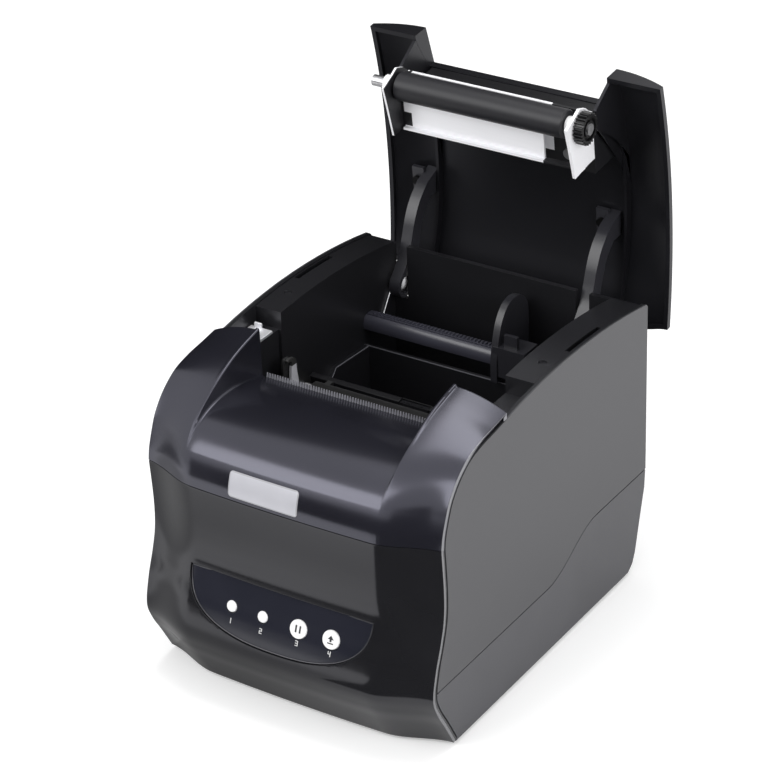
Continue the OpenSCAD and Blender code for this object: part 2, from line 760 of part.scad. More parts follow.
// Print mechanism. Its frame stands under the closed platen.
ch_z = 99;
rub_x0 = mouth_x0 + 4;
rub_x1 = rub_x0 + rubber_l;
ch_x0 = rub_x0 - 7.1;
ch_x1 = rub_x1 + 2.4;
ch_screws = [[ch_x0 - 7, lid_y + 5], [ch_x0 - 7, lid_y + 34], [ch_x1 + 6.5, lid_y + 34]];
bush_r = 4;
rod_y = platen_y + 20;
rod_z = platen_z - 13.5;
hook_y = platen_y + 9;
hook_z = platen_z - 16.5;
hook_tip = 12;
gear_x = rub_x1 + 7;
gear_w = 4.5;
platen_pr = gear_m * platen_teeth / 2;
drive_pr = gear_m * drive_teeth / 2;
big_pr = gear_m * big_teeth / 2;
small_pr = gear_m * small_teeth / 2;
pinion_pr = gear_m * pinion_teeth / 2;
drive_y = platen_y;
drive_z = platen_z - platen_pr - drive_pr;
red_y = drive_y - (drive_pr + small_pr) * sin(27);
red_z = drive_z - (drive_pr + small_pr) * cos(27);
pin_y = red_y - (big_pr + pinion_pr) * sin(37);
pin_z = red_z - (big_pr + pinion_pr) * cos(37);
big_x = gear_x + gear_w + 0.4;
big_w = 3;
stud_r = 1.5;
motor_r = 17.5;
notch = [
    [platen_y - 14, ch_z - sheet], [platen_y - 14, platen_z - 6], [platen_y - 8, platen_z + 3],
    [platen_y - bush_r - 0.1, platen_z + 3], [platen_y - bush_r - 0.1, platen_z],
    [platen_y + bush_r + 0.1, platen_z], [platen_y + bush_r + 0.1, platen_z + 4],
    [platen_y + bush_r + 1.6, platen_z + 6.5], [platen_y + 9, platen_z + 6.5],
        [platen_y + 11, platen_z + 2],
    [platen_y + 25, platen_z - 11], [platen_y + 28, ch_z - sheet]
];
module chassis() {
    color("#c4cbd2")
        difference() {
            union() {
                difference() {
                    union() {
                        plate(notch, ch_x0, ch_x0 + sheet);
                        plate(notch, ch_x1 - sheet, ch_x1);
                        plate([[pin_y - 19, pin_z - 19], [pin_y - 19, ch_z], [platen_y - 12, ch_z + 2],
                            [platen_y + 8, ch_z + 2], [platen_y + 8, ch_z - 8], [pin_y + 19, pin_z - 19]],
                            ch_x1 - sheet, ch_x1);
                    }
                    rod(ch_x0 - 1, ch_x1 + 1, platen_y, platen_z, bush_r + 0.1);
                }
                block([ch_x0, platen_y - 14, ch_z - sheet], [ch_x1, platen_y + 28, ch_z]);
                block([ch_x0 - 12, platen_y - 14, ch_z - sheet], [ch_x0 + 0.5, platen_y + 28, ch_z]);
                block([ch_x1 - 0.5, platen_y + 12, ch_z - sheet], [ch_x1 + 11.5, platen_y + 28, ch_z]);
            }
            rod(ch_x0 - 1, ch_x1 + 1, rod_y, rod_z, 1.5 + fit);
            rod(ch_x0 - 1, ch_x1 + 1, hook_y, hook_z, 2 + fit);
            rod(ch_x1 - 3, ch_x1 + 1, drive_y, drive_z, stud_r + fit);
            rod(ch_x1 - 3, ch_x1 + 1, red_y, red_z, stud_r + fit);
            rod(ch_x1 - 3, ch_x1 + 1, pin_y, pin_z, 5.1);
            for (p = ch_screws)
                translate([p[0], p[1], ch_z - 4])
                    cylinder(h = 8, r = screw_r + fit);
            // room for the motor under the web
            rod(ch_x1 - 30, ch_x1 - sheet - 0.5, pin_y, pin_z, motor_r + 0.5);
        }
}
module chassis_screws() {
    color("#9aa0a6")
        for (p = ch_screws) {
            translate([p[0], p[1], ch_z])
                cylinder(h = 1.8, r = 2.7);
            translate([p[0], p[1], ch_z - 4.4])
                cylinder(h = 4.6, r = screw_r - 0.02);
        }
}
module catch_plate() {
    color("#d4dae0")
        difference() {
            union() {
                block([-in_x + 0.5, lid_y + 14, shelf_z], [bay_x0 - 1.5, lid_y + 24, shelf_z + 1.5]);
                block([-in_x + 3, lid_y + 22.8, shelf_z + 1], [-in_x + 7, lid_y + 24, shelf_z + 4]);
            }
            translate([-hw + 9.5, lid_y + 17.5, shelf_z - 1])
                cylinder(h = 4, r = screw_r);
        }
}
module hook_plate(x) {
    dy = platen_y - hook_y;
    dz = platen_z - hook_z;
    plate([[-3.5, -3], [-4.2, 3], [dy + bush_r + 1.2, dz - 5], [dy + bush_r + 0.4, dz],
        [dy + bush_r + 0.4, dz + bush_r + 0.4], [dy + 0.6, dz + bush_r + 0.4],
            [dy + 0.2, dz + bush_r + 1.2],
        [dy + 2.4, dz + bush_r + 2.2], [dy + 5, dz + bush_r + 2.2], [dy + 7.4, dz + bush_r + 0.8],
        [dy + 9, dz - 1], [4.5, 4], [4, -3]], x, x + sheet);
}
module latch_hooks() {
    color("#d4dae0") {
        translate([0, hook_y, hook_z])
            rotate([-hook_tip, 0, 0]) {
                hook_plate(ch_x0 + sheet + 0.5);
                hook_plate(ch_x1 + 0.5);
                rod(ch_x0 - 1, ch_x1 + 3, 0, 0, 2);
            }
    }
}
head_top = platen_z - platen_r - 0.4;
module head_sink() {
    color("#b4b9bf")
        difference() {
            union() {
                block([rub_x0 + 2.5, platen_y - 8, head_top - 4.2],
                    [rub_x1 - 1.5, platen_y + 18, head_top - 0.9]);
                for (x = [rub_x0 + 6, rub_x1 - 9])
                    block([x, rod_y - 3.5, rod_z - 3], [x + 3, rod_y + 3, head_top - 2]);
            }
            rod(rub_x0, rub_x1, rod_y, rod_z, 1.5 + fit);
        }
}
module print_head() {
    color("#e6e0d0")
        block([rub_x0 + 3, platen_y - 6.5, head_top - 0.9], [rub_x1 - 2, platen_y + 7, head_top]);
    color("#2a1d16")
        block([rub_x0 + 4.5, platen_y + 8, head_top - 0.9], [rub_x1 - 3.5, platen_y + 15, head_top + 0.4]);
}
module head_rod() {
    color("#aab0b6")
        rod(ch_x0 - 1, ch_x1 + 1, rod_y, rod_z, 1.5);
}
module head_springs() {
    n = 6;
    color("#8f959b")
        for (x = [rub_x0 + 18, rub_x1 - 33])
            difference() {
                translate([x, platen_y - 2, ch_z])
                    cylinder(h = head_top - 4.2 - 0.3 - ch_z, r = 3.2);
                translate([x, platen_y - 2, ch_z - 1])
                    cylinder(h = 30, r = 2.4);
                for (k = [1:n])
                    translate([x, platen_y - 2, ch_z + 1.25 * k])
                        rotate_extrude()
                            translate([3.3, 0])
                                polygon([[-0.6, 0], [0.1, -0.35], [0.1, 0.35]]);
            }
}

// Gears: teeth with involute flanks and a little backlash
function inv(a) = tan(a) - a * PI / 180;
function gear_pts(n, m, shift) = [
    for (i = [0:n - 1])
        let (
            rp = m * n / 2,
            rb = rp * cos(20),
            rs = [rp - 1.2 * m, max(rp - 0.5 * m, rb + 0.01), rp + 0.2 * m, rp + 0.85 * m],
            h = (90 * 0.86 / n)
        )
        each concat(
            [for (k = [0:3]) let (r = rs[k], a = h * 1 + (inv(20) - inv(acos(min(1, rb / max(r,
                rb))))) * 180 / PI)
                [r, 360 * i / n + shift - a]],
            [for (k = [3:-1:0]) let (r = rs[k], a = h * 1 + (inv(20) - inv(acos(min(1, rb / max(r,
                rb))))) * 180 / PI)
                [r, 360 * i / n + shift + a]]
        )
];
module gear(n, x0, w, y, z, shift) {
    pts = gear_pts(n, gear_m, shift);
    plate([for (p = pts) [y + p[0] * cos(p[1]), z + p[0] * sin(p[1])]], x0, x0 + w);
}
// The drive gear has a gap straight up, where the closing platen gear brings a tooth straight down
drive_shift = 90 + 180 / drive_teeth;
small_dir = atan2(red_z - drive_z, red_y - drive_y);
drive_phase = (small_dir - drive_shift) * drive_teeth / 360;
red_shift = small_dir + 180 + (0.5 + (drive_phase - floor(drive_phase))) * 360 / small_teeth;
pin_dir = atan2(pin_z - red_z, pin_y - red_y);
big_shift = red_shift;
big_phase = (pin_dir - big_shift) * big_teeth / 360;
pinion_shift = pin_dir + 180 + (0.5 + (big_phase - floor(big_phase))) * 360 / pinion_teeth;
module drive_gear() {
    color("#e8e6dc")
        difference() {
            union() {
                gear(drive_teeth, gear_x, gear_w, drive_y, drive_z, drive_shift);
                rod(gear_x - 0.6, gear_x + gear_w + 0.2, drive_y, drive_z, 3.4);
            }
            rod(gear_x - 2, gear_x + gear_w + 1, drive_y, drive_z, stud_r + fit);
            difference() {
                rod(gear_x + gear_w - 1.2, gear_x + gear_w + 1, drive_y, drive_z, drive_pr - 2);
                rod(gear_x + gear_w - 2, gear_x + gear_w + 2, drive_y, drive_z, 3.4);
            }
        }
}
module reduction_gear() {
    color("#e8e6dc")
        difference() {
            union() {
                gear(small_teeth, gear_x, gear_w + 0.5, red_y, red_z, red_shift);
                gear(big_teeth, big_x, big_w, red_y, red_z, big_shift);
            }
            rod(gear_x - 2, big_x + big_w + 1, red_y, red_z, stud_r + fit);
        }
}
module motor_pinion() {
    color("#c9a54a")
        difference() {
            gear(pinion_teeth, big_x - 0.2, big_w + 0.4, pin_y, pin_z, pinion_shift);
            rod(big_x - 2, big_x + big_w + 2, pin_y, pin_z, 1 + fit);
        }
}
module gear_studs() {
    color("#aab0b6") {
        difference() {
            union() {
                rod(ch_x1 - sheet - 0.4, gear_x + gear_w + 0.9, drive_y, drive_z, stud_r);
                rod(gear_x + gear_w + 0.4, gear_x + gear_w + 0.9, drive_y, drive_z, 1.75);
                rod(ch_x1 + 0.05, gear_x - 0.8, drive_y, drive_z, 2.6);
            }
        }
        rod(ch_x1 - sheet - 0.4, big_x + big_w + 0.8, red_y, red_z, stud_r);
        rod(big_x + big_w + 0.2, big_x + big_w + 0.8, red_y, red_z, 2.4);
        rod(ch_x1 + 0.05, gear_x - 0.2, red_y, red_z, 2.6);
    }
}
module stepper_motor() {
    x1 = ch_x1 - sheet;
    color("#a9aeb4")
        difference() {
            union() {
                rod(x1 - 22, x1 - 0.8, pin_y, pin_z, motor_r);
                rod(x1 - 1, x1 + 1.2, pin_y, pin_z, 5);
                for (a = [45, 225])
                    translate([x1 - 0.8, pin_y, pin_z])
                        rotate([a, 0, 0])
                            block([0, -4, motor_r - 4], [0.8, 4, motor_r + 3]);
                rod(x1, big_x + big_w + 1, pin_y, pin_z, 1);
            }
            rod(x1 - 23, x1 - 20.5, pin_y, pin_z, 4);
        }
}
// Ramp that leads the paper from the bay up to the print head
ramp_y = lid_y + 45;
module paper_ramp() {
    color("#29292e")
        difference() {
            plate([[ramp_y, bay_z + wall + 0.1], [ramp_y, ch_z + 6], [ramp_y + 3, ch_z + 6.6],
                [ramp_y + 14, ch_z - 1],
                [ramp_y + 22, ch_z - 10], [ramp_y + 22, ch_z - 13], [ramp_y + 18, ch_z - 13],
                [ramp_y + 11, ch_z - 3], [ramp_y + 3, ch_z + 2], [ramp_y + 3, bay_z + wall + 0.1]],
                bay_x0 + wall + 0.3, bay_x1 - wall - 0.3);
            block([-8, ramp_y - 1, ch_z - 2], [8, ramp_y + 4, ch_z + 10]);
        }
}
module paper_sensor() {
    color("#17171a")
        block([-7.8, ramp_y + 0.2, ch_z - 1.8], [7.8, ramp_y + 2.9, ch_z + 5.5]);
    color("#5c1f24")
        for (x = [-3, 3])
            translate([x, ramp_y + 1.5, ch_z + 5.4])
                cylinder(h = 0.5, r = 1);
}

// Rail across the bay and the paper guide that slides on it
rail_y0 = cross_y - 0.5;
rail_y1 = rail_y0 + 7.5;
rail_z0 = 104.5;
rail_z1 = 112;
rail_r = 3.2;
module guide_rail() {
    n = floor((bay_x1 - bay_x0 - 6) / 2);
    color("#3b3b41") {
        difference() {
            union() {
                plate(concat([[rail_y0 + 1.2, rail_z0], [rail_y0 + 0.3, rail_z0 + 0.6]],
                    [for (k = [0:8]) [rail_y0 + rail_r * (1 - cos(k * 11.25)),
                        rail_z0 + 2 + (rail_z1 - rail_z0 - 2) * sin(k * 11.25)]],
                    [[rail_y1, rail_z1], [rail_y1, rail_z0]]), bay_x0 + 0.1, bay_x1 - 0.1);
                translate([0, rail_y1 - 0.8, 0])
                    rotate([90, 0, 0])
                        linear_extrude(2.6)
                            polygon(concat([[bay_x0 + 3, rail_z1 - 0.5]],
                                flat([for (i = [0:n - 1]) let (x = bay_x0 + 3 + 2 * i)
                                    [[x, rail_z1], [x + 0.3, rail_z1 + 0.7], [x + 0.9, rail_z1 + 0.7],
                                        [x + 1.2, rail_z1]]]),
                                [[bay_x0 + 3 + 2 * n, rail_z1 - 0.5]]));
            }
            block([bay_x0, rail_y1 - 4.6, rail_z1 - 0.6], [bay_x1, rail_y1 - 4, rail_z1 + 1]);
        }
    }
}
guide_t = 3.5;
module paper_guide() {
    g = guide_gap;
    edge = spline([[rail_y0 - 3.2, 98], [rail_y0 - 3, 110], [rail_y0 - 0.5, 121.5], [rail_y0 + 2.8, 129],
        [rail_y0 + 8, 134.2], [rail_y0 + 15, 135.6], [rail_y0 + 22, 133], [rail_y0 + 26, 127],
            [rail_y0 + 26.6, 116],
        [rail_y0 + 26, 102]], 4);
    color("#34343a")
        difference() {
            union() {
                plate(concat([[rail_y0 - 3.2, 98]], edge, [[rail_y0 + 22, 98]]), guide_x,
                    guide_x + guide_t);
                block([guide_x + 1, rail_y0 - 2.5, rail_z0 - 3.5],
                    [guide_x + 18, rail_y1 + 2.5, rail_z1 + 4.5]);
                block([guide_x + 6, rail_y0 - 0.5, rail_z1 + 4],
                    [guide_x + 13, rail_y0 + 1.5, rail_z1 + 11]);
            }
            block([guide_x - 1, rail_y0 - g, rail_z0 - g], [guide_x + 19, rail_y1 + g, rail_z1 + 0.7 + g]);
        }
}

// Lid, drawn closed
lid_gap = 0.15;
ear_low = platen_z + 9;
function lid_ring(x, mid, kind) =
    let (
        yf = mid ? mouth_y : lid_y + groove,
        yr = rear_y + 0.5 + rear_bow * smooth((hw - abs(x)) / 14),
        n = 18,
        ys = [for (k = [0:n]) mix(yf, yr, k / n)],
        ym = mouth_y + 16,
        yi = kind == 2 ? concat([for (k = [0:8]) mix(yf + wall, ym, k / 8)],
            [for (k = [1:10]) mix(ym, yr - wall, k / 10)])
            : [for (k = [0:n]) mix(yf + wall, yr - wall, k / n)],
        dip = function (y) kind == 0 ? wall : kind == 1 ? lid_top(x, y) - rim(min(y, rear_y)) - lid_gap
            : lid_top(x, y) - mix(max(ear_low, rim(lid_y) - (y - yf - wall) * 1.9), lid_top(x, y) - 6,
                smooth((y - mouth_y + 2) / 16)),
        zf = kind == 2 ? rim(lid_y) + lid_gap : mid ? lid_top(x, yf) - 4.2 : rim(lid_y) + lid_gap,
        zr = rim(rear_y) + lid_gap,
        z1 = mid || kind == 2 ? zf : rim(yf + wall) + lid_gap
    )
    ring(x, back(concat(
        [[yf, zf]],
        [for (y = ys) [y, lid_top(x, y)]],
        [[yr, zr], [yr - wall, rim(min(yr - wall, rear_y)) + lid_gap]],
        back([for (y = yi) [y, kind == 1 ? rim(min(y,
            rear_y)) + lid_gap + 0.02 * (y - yf > 4 ? 1 : 2) : lid_top(x, y) - dip(y)]]),
        [[yf + wall, kind == 1 ? z1 + 0.01 : z1]]
    )));
module lid_shell() {
    e0 = mouth_x0;
    e1 = mouth_x1;
    color("#2c2c31")
        lid_open()
            difference() {
                loft(concat(
                    [lid_ring(-hw, false, 1), lid_ring(-in_x - 0.3, false, 1), lid_ring(-in_x, false, 0)],
                    [for (i = [1:7]) if (left_x[i] > -in_x) lid_ring(left_x[i], false, 0)],
                    [lid_ring(e0 - lip * 2 - rib_t, false, 0), lid_ring(e0 - lip - rib_t, false, 2),
                    lid_ring(e0 - lip, false, 2)],
                    [for (x = mid_x) lid_ring(x, true, 0)],
                    [lid_ring(e1 + lip, false, 2), lid_ring(e1 + lip + rib_t, false, 2),
                    lid_ring(e1 + lip * 2 + rib_t, false, 0)],
                    [for (i = [0:6]) if (right_x[i] < in_x) lid_ring(right_x[i], false, 0)],
                    [lid_ring(in_x, false, 0), lid_ring(in_x + 0.3, false, 1), lid_ring(hw, false, 1)]
                ));
            }
}
// Frame inside the lid that carries the platen
fr_z = platen_z + 11.5;
fr_y1 = mouth_y + 24;
fr_x0 = mouth_x0 + 1.4;
fr_x1 = rub_x1 + 6.5;
module lid_frame() {
    function top(y) = lid_top(0, y) - wall - 0.1;
    y0 = mouth_y + 0.4;
    ribs = concat([[y0, fr_z], [y0, top(y0) - 1.8], [y0 + wall, top(y0) - 1.8]],
        [for (k = [0:6]) let (y = mix(y0 + wall, fr_y1, k / 6)) [y, top(y)]], [[fr_y1, fr_z]]);
    color("#232328")
        lid_open()
            difference() {
                union() {
                    plate(ribs, fr_x0, fr_x0 + wall);
                    plate(ribs, fr_x1 - wall, fr_x1);
                    block([fr_x0, y0, fr_z], [fr_x1, fr_y1, fr_z + wall]);
                    block([fr_x0, y0, fr_z], [fr_x1, y0 + wall, top(y0) - 1.8]);
                    block([fr_x0, fr_y1 - wall, fr_z], [fr_x1, fr_y1, top(fr_y1 - wall)]);
                }
                for (x = frame_sx)
                    translate([x, mouth_y + 15, fr_z - 1])
                        cylinder(h = 5, r = screw_r + fit);
            }
}
frame_sx = [fr_x0 + 12, fr_x1 - 12];
module frame_screws() {
    color("#9aa0a6")
        lid_open()
            for (x = frame_sx) {
                translate([x, mouth_y + 15, fr_z - sheet - 1.8])
                    cylinder(h = 1.8, r = 2.7);
                translate([x, mouth_y + 15, fr_z - sheet - 0.2])
                    cylinder(h = 4.6, r = screw_r);
            }
}
// Curved arms that carry the lid round the back of the bay
boss_hr = 6.4;
function arm_under() = spline([[-4, -5], [-11.8, 3.2], [-19.7, 7.8], [-28.6, 12], [-36.7, 17.8],
    [-43.3, 26.2]], 4);
function arm_over() = spline([[-34.5, 29], [-29.5, 22.5], [-21, 17], [-11, 13], [1, 6.2]], 4);
module arm_shape(x0, x1) {
    function top(y) = min(lid_top(x0, y), lid_top(x1, y)) - wall - 0.15;
    base = [hinge_y, hinge_z];
    plate(concat(
        [for (p = arm_under()) base + p],
        [for (y = [-46, -40, -34]) [hinge_y + y, top(hinge_y + y)]],
        [for (p = arm_over()) base + p]
    ), x0, x1);
    rod(x0, x1, hinge_y, hinge_z, boss_hr);
}
module hinge_arm_left() {
    color("#3a3a40")
        lid_open()
            difference() {
                union() {
                    arm_shape(arm_left[0], arm_left[0] + arm_t);
                    arm_foot(arm_left[0] - 6, arm_left[0] + 0.5);
                }
                rod(arm_left[0] - 1, arm_left[0] + arm_t + 1, hinge_y, hinge_z, hinge_r + fit);
                rod(arm_left[0] + 1.9, arm_left[0] + arm_t + 1, hinge_y, hinge_z, hinge_r + 1.9);
                arm_hole(arm_left[0] - 3);
            }
}
module hinge_arm_right() {
    color("#3a3a40")
        lid_open()
            difference() {
                union() {
                    arm_shape(arm_right[0], arm_right[0] + arm_t);
                    arm_foot(arm_right[0] - 6, arm_right[0] + 0.5);
                }
                rod(arm_right[0] - 1, arm_right[0] + arm_t + 1, hinge_y, hinge_z, hinge_r + fit);
                rod(arm_right[0] - 1, arm_right[1] - 1.9, hinge_y, hinge_z, hinge_r + 1.9);
                arm_hole(arm_right[0] - 3);
            }
}
foot_ay = [hinge_y - 50, hinge_y - 34];
module arm_foot(x0, x1) {
    z = min(lid_top(x0, foot_ay[1]), lid_top(x1, foot_ay[1])) - wall - 0.3;
    block([x0, foot_ay[0] + 3, z - 2], [x1, foot_ay[1], z]);
}
module arm_hole(x) {
    translate([x, hinge_y - 40, hinge_z + 20])
        cylinder(h = 40, r = screw_r + fit);
}
module arm_screws() {
    color("#9aa0a6")
        lid_open()
            for (x0 = [arm_left[0], arm_right[0]]) {
                z = min(lid_top(x0 - 6, foot_ay[1]), lid_top(x0 + 0.5, foot_ay[1])) - wall - 0.3;
                translate([x0 - 3, hinge_y - 40, z - 3.6])
                    cylinder(h = 1.6, r = 2.4);
                translate([x0 - 3, hinge_y - 40, z - 2.2])
                    cylinder(h = 2.4, r = screw_r);
            }
}
module hinge_pins() {
    color("#c7ccd2") {
        rod(bay_x0 - wall - 1, arm_left[0] + 2, hinge_y, hinge_z, hinge_r);
        rod(arm_left[0] + 1.95, arm_left[0] + 4, hinge_y, hinge_z, hinge_r + 1.5);
        rod(arm_right[1] - 2, post_right + 4, hinge_y, hinge_z, hinge_r);
        rod(arm_right[1] - 4, arm_right[1] - 1.95, hinge_y, hinge_z, hinge_r + 1.5);
    }
}
module hinge_spring() {
    x0 = bay_x0 + 0.1;
    x1 = arm_left[0] - 0.1;
    color("#b8bec4") {
        difference() {
            rod(x0, x1, hinge_y, hinge_z, hinge_r + 1.2);
            rod(x0 - 1, x1 + 1, hinge_y, hinge_z, hinge_r + 0.2);
        }
        translate([x0 + 0.4, hinge_y - 3.2, hinge_z - 1])
            rotate([145, 0, 0])
                cylinder(h = 14, r = 0.4);
    }
}

// Platen assembly, drawn with the lid closed
side_out = [
    [platen_y - 4, platen_z - 11.6], [platen_y + 7, platen_z - 9.4], [platen_y + 23.5, platen_z - 6.5],
    [platen_y + 22, platen_z + 10], [platen_y - 2, platen_z + 10.3], [platen_y - 6.5, platen_z + 6],
    [platen_y - 8.7, platen_z + 0.7], [platen_y - 7.2, platen_z - 2.6]
];
br_x0 = rub_x0 - 2.5;
br_x1 = rub_x1 + 6.5;
module platen_bracket() {
    z0 = fr_z - sheet;
    color("#dfe5ea")
        lid_open()
            difference() {
                union() {
                    plate(side_out, br_x0, br_x0 + sheet);
                    plate(side_out, br_x1 - sheet, br_x1);
                    block([br_x0, platen_y - 2, z0], [br_x1, platen_y + 22, fr_z]);
                    block([br_x0, platen_y + 8, platen_z + 1.5],
                        [rub_x0 + 75, platen_y + 23, platen_z + 2.7]);
                    block([br_x0, platen_y + 21.8, platen_z - 0.5], [br_x1, platen_y + 23, platen_z + 2.7]);
                    block([br_x0, platen_y + 21.2, platen_z + 2], [br_x0 + 6, platen_y + 22.4, fr_z]);
                    block([br_x1 - 6, platen_y + 21.2, platen_z + 2], [br_x1, platen_y + 22.4, fr_z]);
                    for (x = [br_x0, br_x1 - sheet])
                        plate([[platen_y - 2, fr_z - 3], [platen_y - 2, fr_z], [platen_y + 22, fr_z],
                            [platen_y + 22, fr_z - 3]], x, x + sheet);
                }
                rod(br_x0 - 1, br_x1 + 1, platen_y, platen_z, 3.2 + fit);
                for (x = frame_sx)
                    translate([x, mouth_y + 15, fr_z - 3])
                        cylinder(h = 5, r = screw_r + fit);
            }
}
module platen_bushings() {
    color("#eef0f2")
        lid_open() {
            difference() {
                union() {
                    rod(br_x0 - 5, br_x0 - 0.1, platen_y, platen_z, bush_r);
                    rod(br_x0 - 0.5, br_x0 + sheet, platen_y, platen_z, 3.2);
                }
                rod(br_x0 - 10, br_x0 + 6, platen_y, platen_z, shaft_r + fit);
            }
            difference() {
                union() {
                    rod(rub_x1 + 0.4, br_x1 - sheet - 0.1, platen_y, platen_z, bush_r);
                    rod(br_x1 - sheet - 0.5, br_x1, platen_y, platen_z, 3.2);
                }
                rod(rub_x1, br_x1 + 6, platen_y, platen_z, shaft_r + fit);
            }
        }
}
shaft_x0 = rub_x0 - 14.2;
shaft_x1 = gear_x + gear_w + 0.6;
module platen_shaft() {
    color("#d9dde1")
        lid_open()
            rod(shaft_x0, shaft_x1, platen_y, platen_z, shaft_r);
}
module platen_rubber() {
    color("#1a1a1d")
        lid_open()
            difference() {
                rod(rub_x0, rub_x1, platen_y, platen_z, platen_r);
                rod(rub_x0 - 1, rub_x1 + 1, platen_y, platen_z, shaft_r);
            }
}
module platen_gear() {
    x0 = gear_x;
    color("#17171a")
        lid_open()
            difference() {
                gear(platen_teeth, x0, gear_w, platen_y, platen_z, 270);
                rod(x0 - 1, x0 + gear_w + 1, platen_y, platen_z, shaft_r);
                difference() {
                    rod(x0 + gear_w - 1.6, x0 + gear_w + 1, platen_y, platen_z, platen_pr - 1.7);
                    rod(x0, x0 + gear_w + 2, platen_y, platen_z, shaft_r + 1.2);
                }
            }
}

base_case();
mid_housing();
front_cover();
control_panel();
badge_plate();
lamp_lenses();
pause_button();
feed_button();
panel_board();
panel_switches();
tear_bar();
rubber_feet();
case_screws();
main_board();
board_parts();
board_screws();
usb_socket();
power_inlet();
port_plate();
switch_bezel();
power_rocker();
chassis();
chassis_screws();
catch_plate();
latch_hooks();
print_head();
head_sink();
head_rod();
head_springs();
stepper_motor();
motor_pinion();
reduction_gear();
drive_gear();
gear_studs();
paper_ramp();
paper_sensor();
guide_rail();
paper_guide();
lid_shell();
lid_frame();
hinge_arm_left();
hinge_arm_right();
hinge_pins();
hinge_spring();
arm_screws();
frame_screws();
platen_bracket();
platen_bushings();
platen_shaft();
platen_rubber();
platen_gear();
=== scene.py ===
import bpy
import bmesh
from contextlib import contextmanager
from math import sin, cos, pi, radians, sqrt
from mathutils import Vector, Matrix
from mathutils.geometry import delaunay_2d_cdt


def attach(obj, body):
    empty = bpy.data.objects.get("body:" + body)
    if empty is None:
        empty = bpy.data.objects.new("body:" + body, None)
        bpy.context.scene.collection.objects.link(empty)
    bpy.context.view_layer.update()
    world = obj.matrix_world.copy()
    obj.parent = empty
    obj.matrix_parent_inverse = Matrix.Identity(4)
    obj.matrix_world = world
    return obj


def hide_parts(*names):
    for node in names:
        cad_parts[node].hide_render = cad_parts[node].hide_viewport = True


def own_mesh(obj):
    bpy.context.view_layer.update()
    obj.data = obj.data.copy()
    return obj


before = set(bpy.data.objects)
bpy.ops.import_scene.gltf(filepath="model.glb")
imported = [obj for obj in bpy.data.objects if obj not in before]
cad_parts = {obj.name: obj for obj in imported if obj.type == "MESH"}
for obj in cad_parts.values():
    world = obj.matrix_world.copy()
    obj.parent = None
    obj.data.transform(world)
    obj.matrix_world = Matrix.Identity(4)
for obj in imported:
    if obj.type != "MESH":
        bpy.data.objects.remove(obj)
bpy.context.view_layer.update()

scene = bpy.context.scene
scene.view_settings.view_transform = "Standard"

# Camera: above the front right corner, looking down into the open bay. The place is in metres, and
# the turn, the look down and the roll are in degrees.
EYE_AT = (0.65888, -0.99943, 0.79300)
EYE_TURN = 33.651
EYE_DOWN = 29.219
EYE_ROLL = -1.986
eye = bpy.data.cameras.new("view")
eye.sensor_width = 36
eye.lens = 142.16
eye.clip_end = 20
camera = bpy.data.objects.new("view", eye)
scene.collection.objects.link(camera)
camera.matrix_world = (Matrix.Translation(EYE_AT) @ Matrix.Rotation(radians(EYE_TURN), 4, "Z")
                       @ Matrix.Rotation(radians(90 - EYE_DOWN), 4, "X")
                       @ Matrix.Rotation(radians(EYE_ROLL), 4, "Z"))
scene.camera = camera


# Studio: a pale floor and surround and three soft boxes. What the camera and the reflections see
# of the surround is plain white.
class Wire:
    """One socket of a material, so that sums on it read as sums."""

    def __init__(self, tree, socket=None):
        self.tree = tree
        self.socket = socket

    def node(self, kind, settings, sockets, out=0):
        """Any node: its settings come first, then the values or wires of its sockets."""
        made = self.tree.nodes.new(kind)
        for name, value in settings.items():
            setattr(made, name, value)
        for name, value in sockets.items():
            if isinstance(value, Wire):
                self.tree.links.new(value.socket, made.inputs[name])
            else:
                made.inputs[name].default_value = value
        return Wire(self.tree, made.outputs[out])

    def sum(self, operation, a, b=0.0):
        return self.node("ShaderNodeMath", {"operation": operation}, {0: a, 1: b})

    def __add__(self, other):
        return self.sum("ADD", self, other)

    __radd__ = __add__

    def __sub__(self, other):
        return self.sum("SUBTRACT", self, other)

    def __rsub__(self, other):
        return self.sum("SUBTRACT", other, self)

    def __mul__(self, other):
        return self.sum("MULTIPLY", self, other)

    __rmul__ = __mul__

    def __gt__(self, other):
        return self.sum("GREATER_THAN", self, other)

    def __lt__(self, other):
        return self.sum("LESS_THAN", self, other)

    def size(self):
        return self.sum("ABSOLUTE", self)

    def both(self, other):
        return self.sum("MINIMUM", self, other)

    def either(self, other):
        return self.sum("MAXIMUM", self, other)

    def near(self, place, reach=0.0003):
        """1 where this is within reach of a place."""
        return (self - place).size() < reach

    def between(self, low, high):
        return (self > low).both(self < high)

    def ease(self, low, high, a=0.0, b=1.0):
        """Runs smoothly from a to b while this goes from low to high."""
        return self.node("ShaderNodeMapRange", {"interpolation_type": "SMOOTHSTEP"},
                         {"Value": self, "From Min": low, "From Max": high, "To Min": a, "To Max": b})

    def blend(self, a, b):
        """Colour a where this is 0, colour b where it is 1."""
        return self.node("ShaderNodeMix", {"data_type": "RGBA"}, {0: self, 6: a, 7: b}, 2)

    def part(self, axis):
        """One number of a place: 0 is across, 1 is depth and 2 is height."""
        return self.node("ShaderNodeSeparateXYZ", {}, {"Vector": self}, axis)

    def stretch(self, scale):
        return self.node("ShaderNodeMapping", {}, {"Vector": self, "Scale": scale})

    def noise(self, scale, detail=2.0, rough=0.5):
        """Soft random spots, about as many to the metre as the scale says."""
        return self.node("ShaderNodeTexNoise", {}, {"Vector": self, "Scale": float(scale), "Detail": detail,
                                                    "Roughness": rough})

    def bumps(self, microns):
        """Relief of a depth given in thousandths of a millimetre."""
        return self.node("ShaderNodeBump", {}, {"Height": self, "Distance": microns * 1e-6})


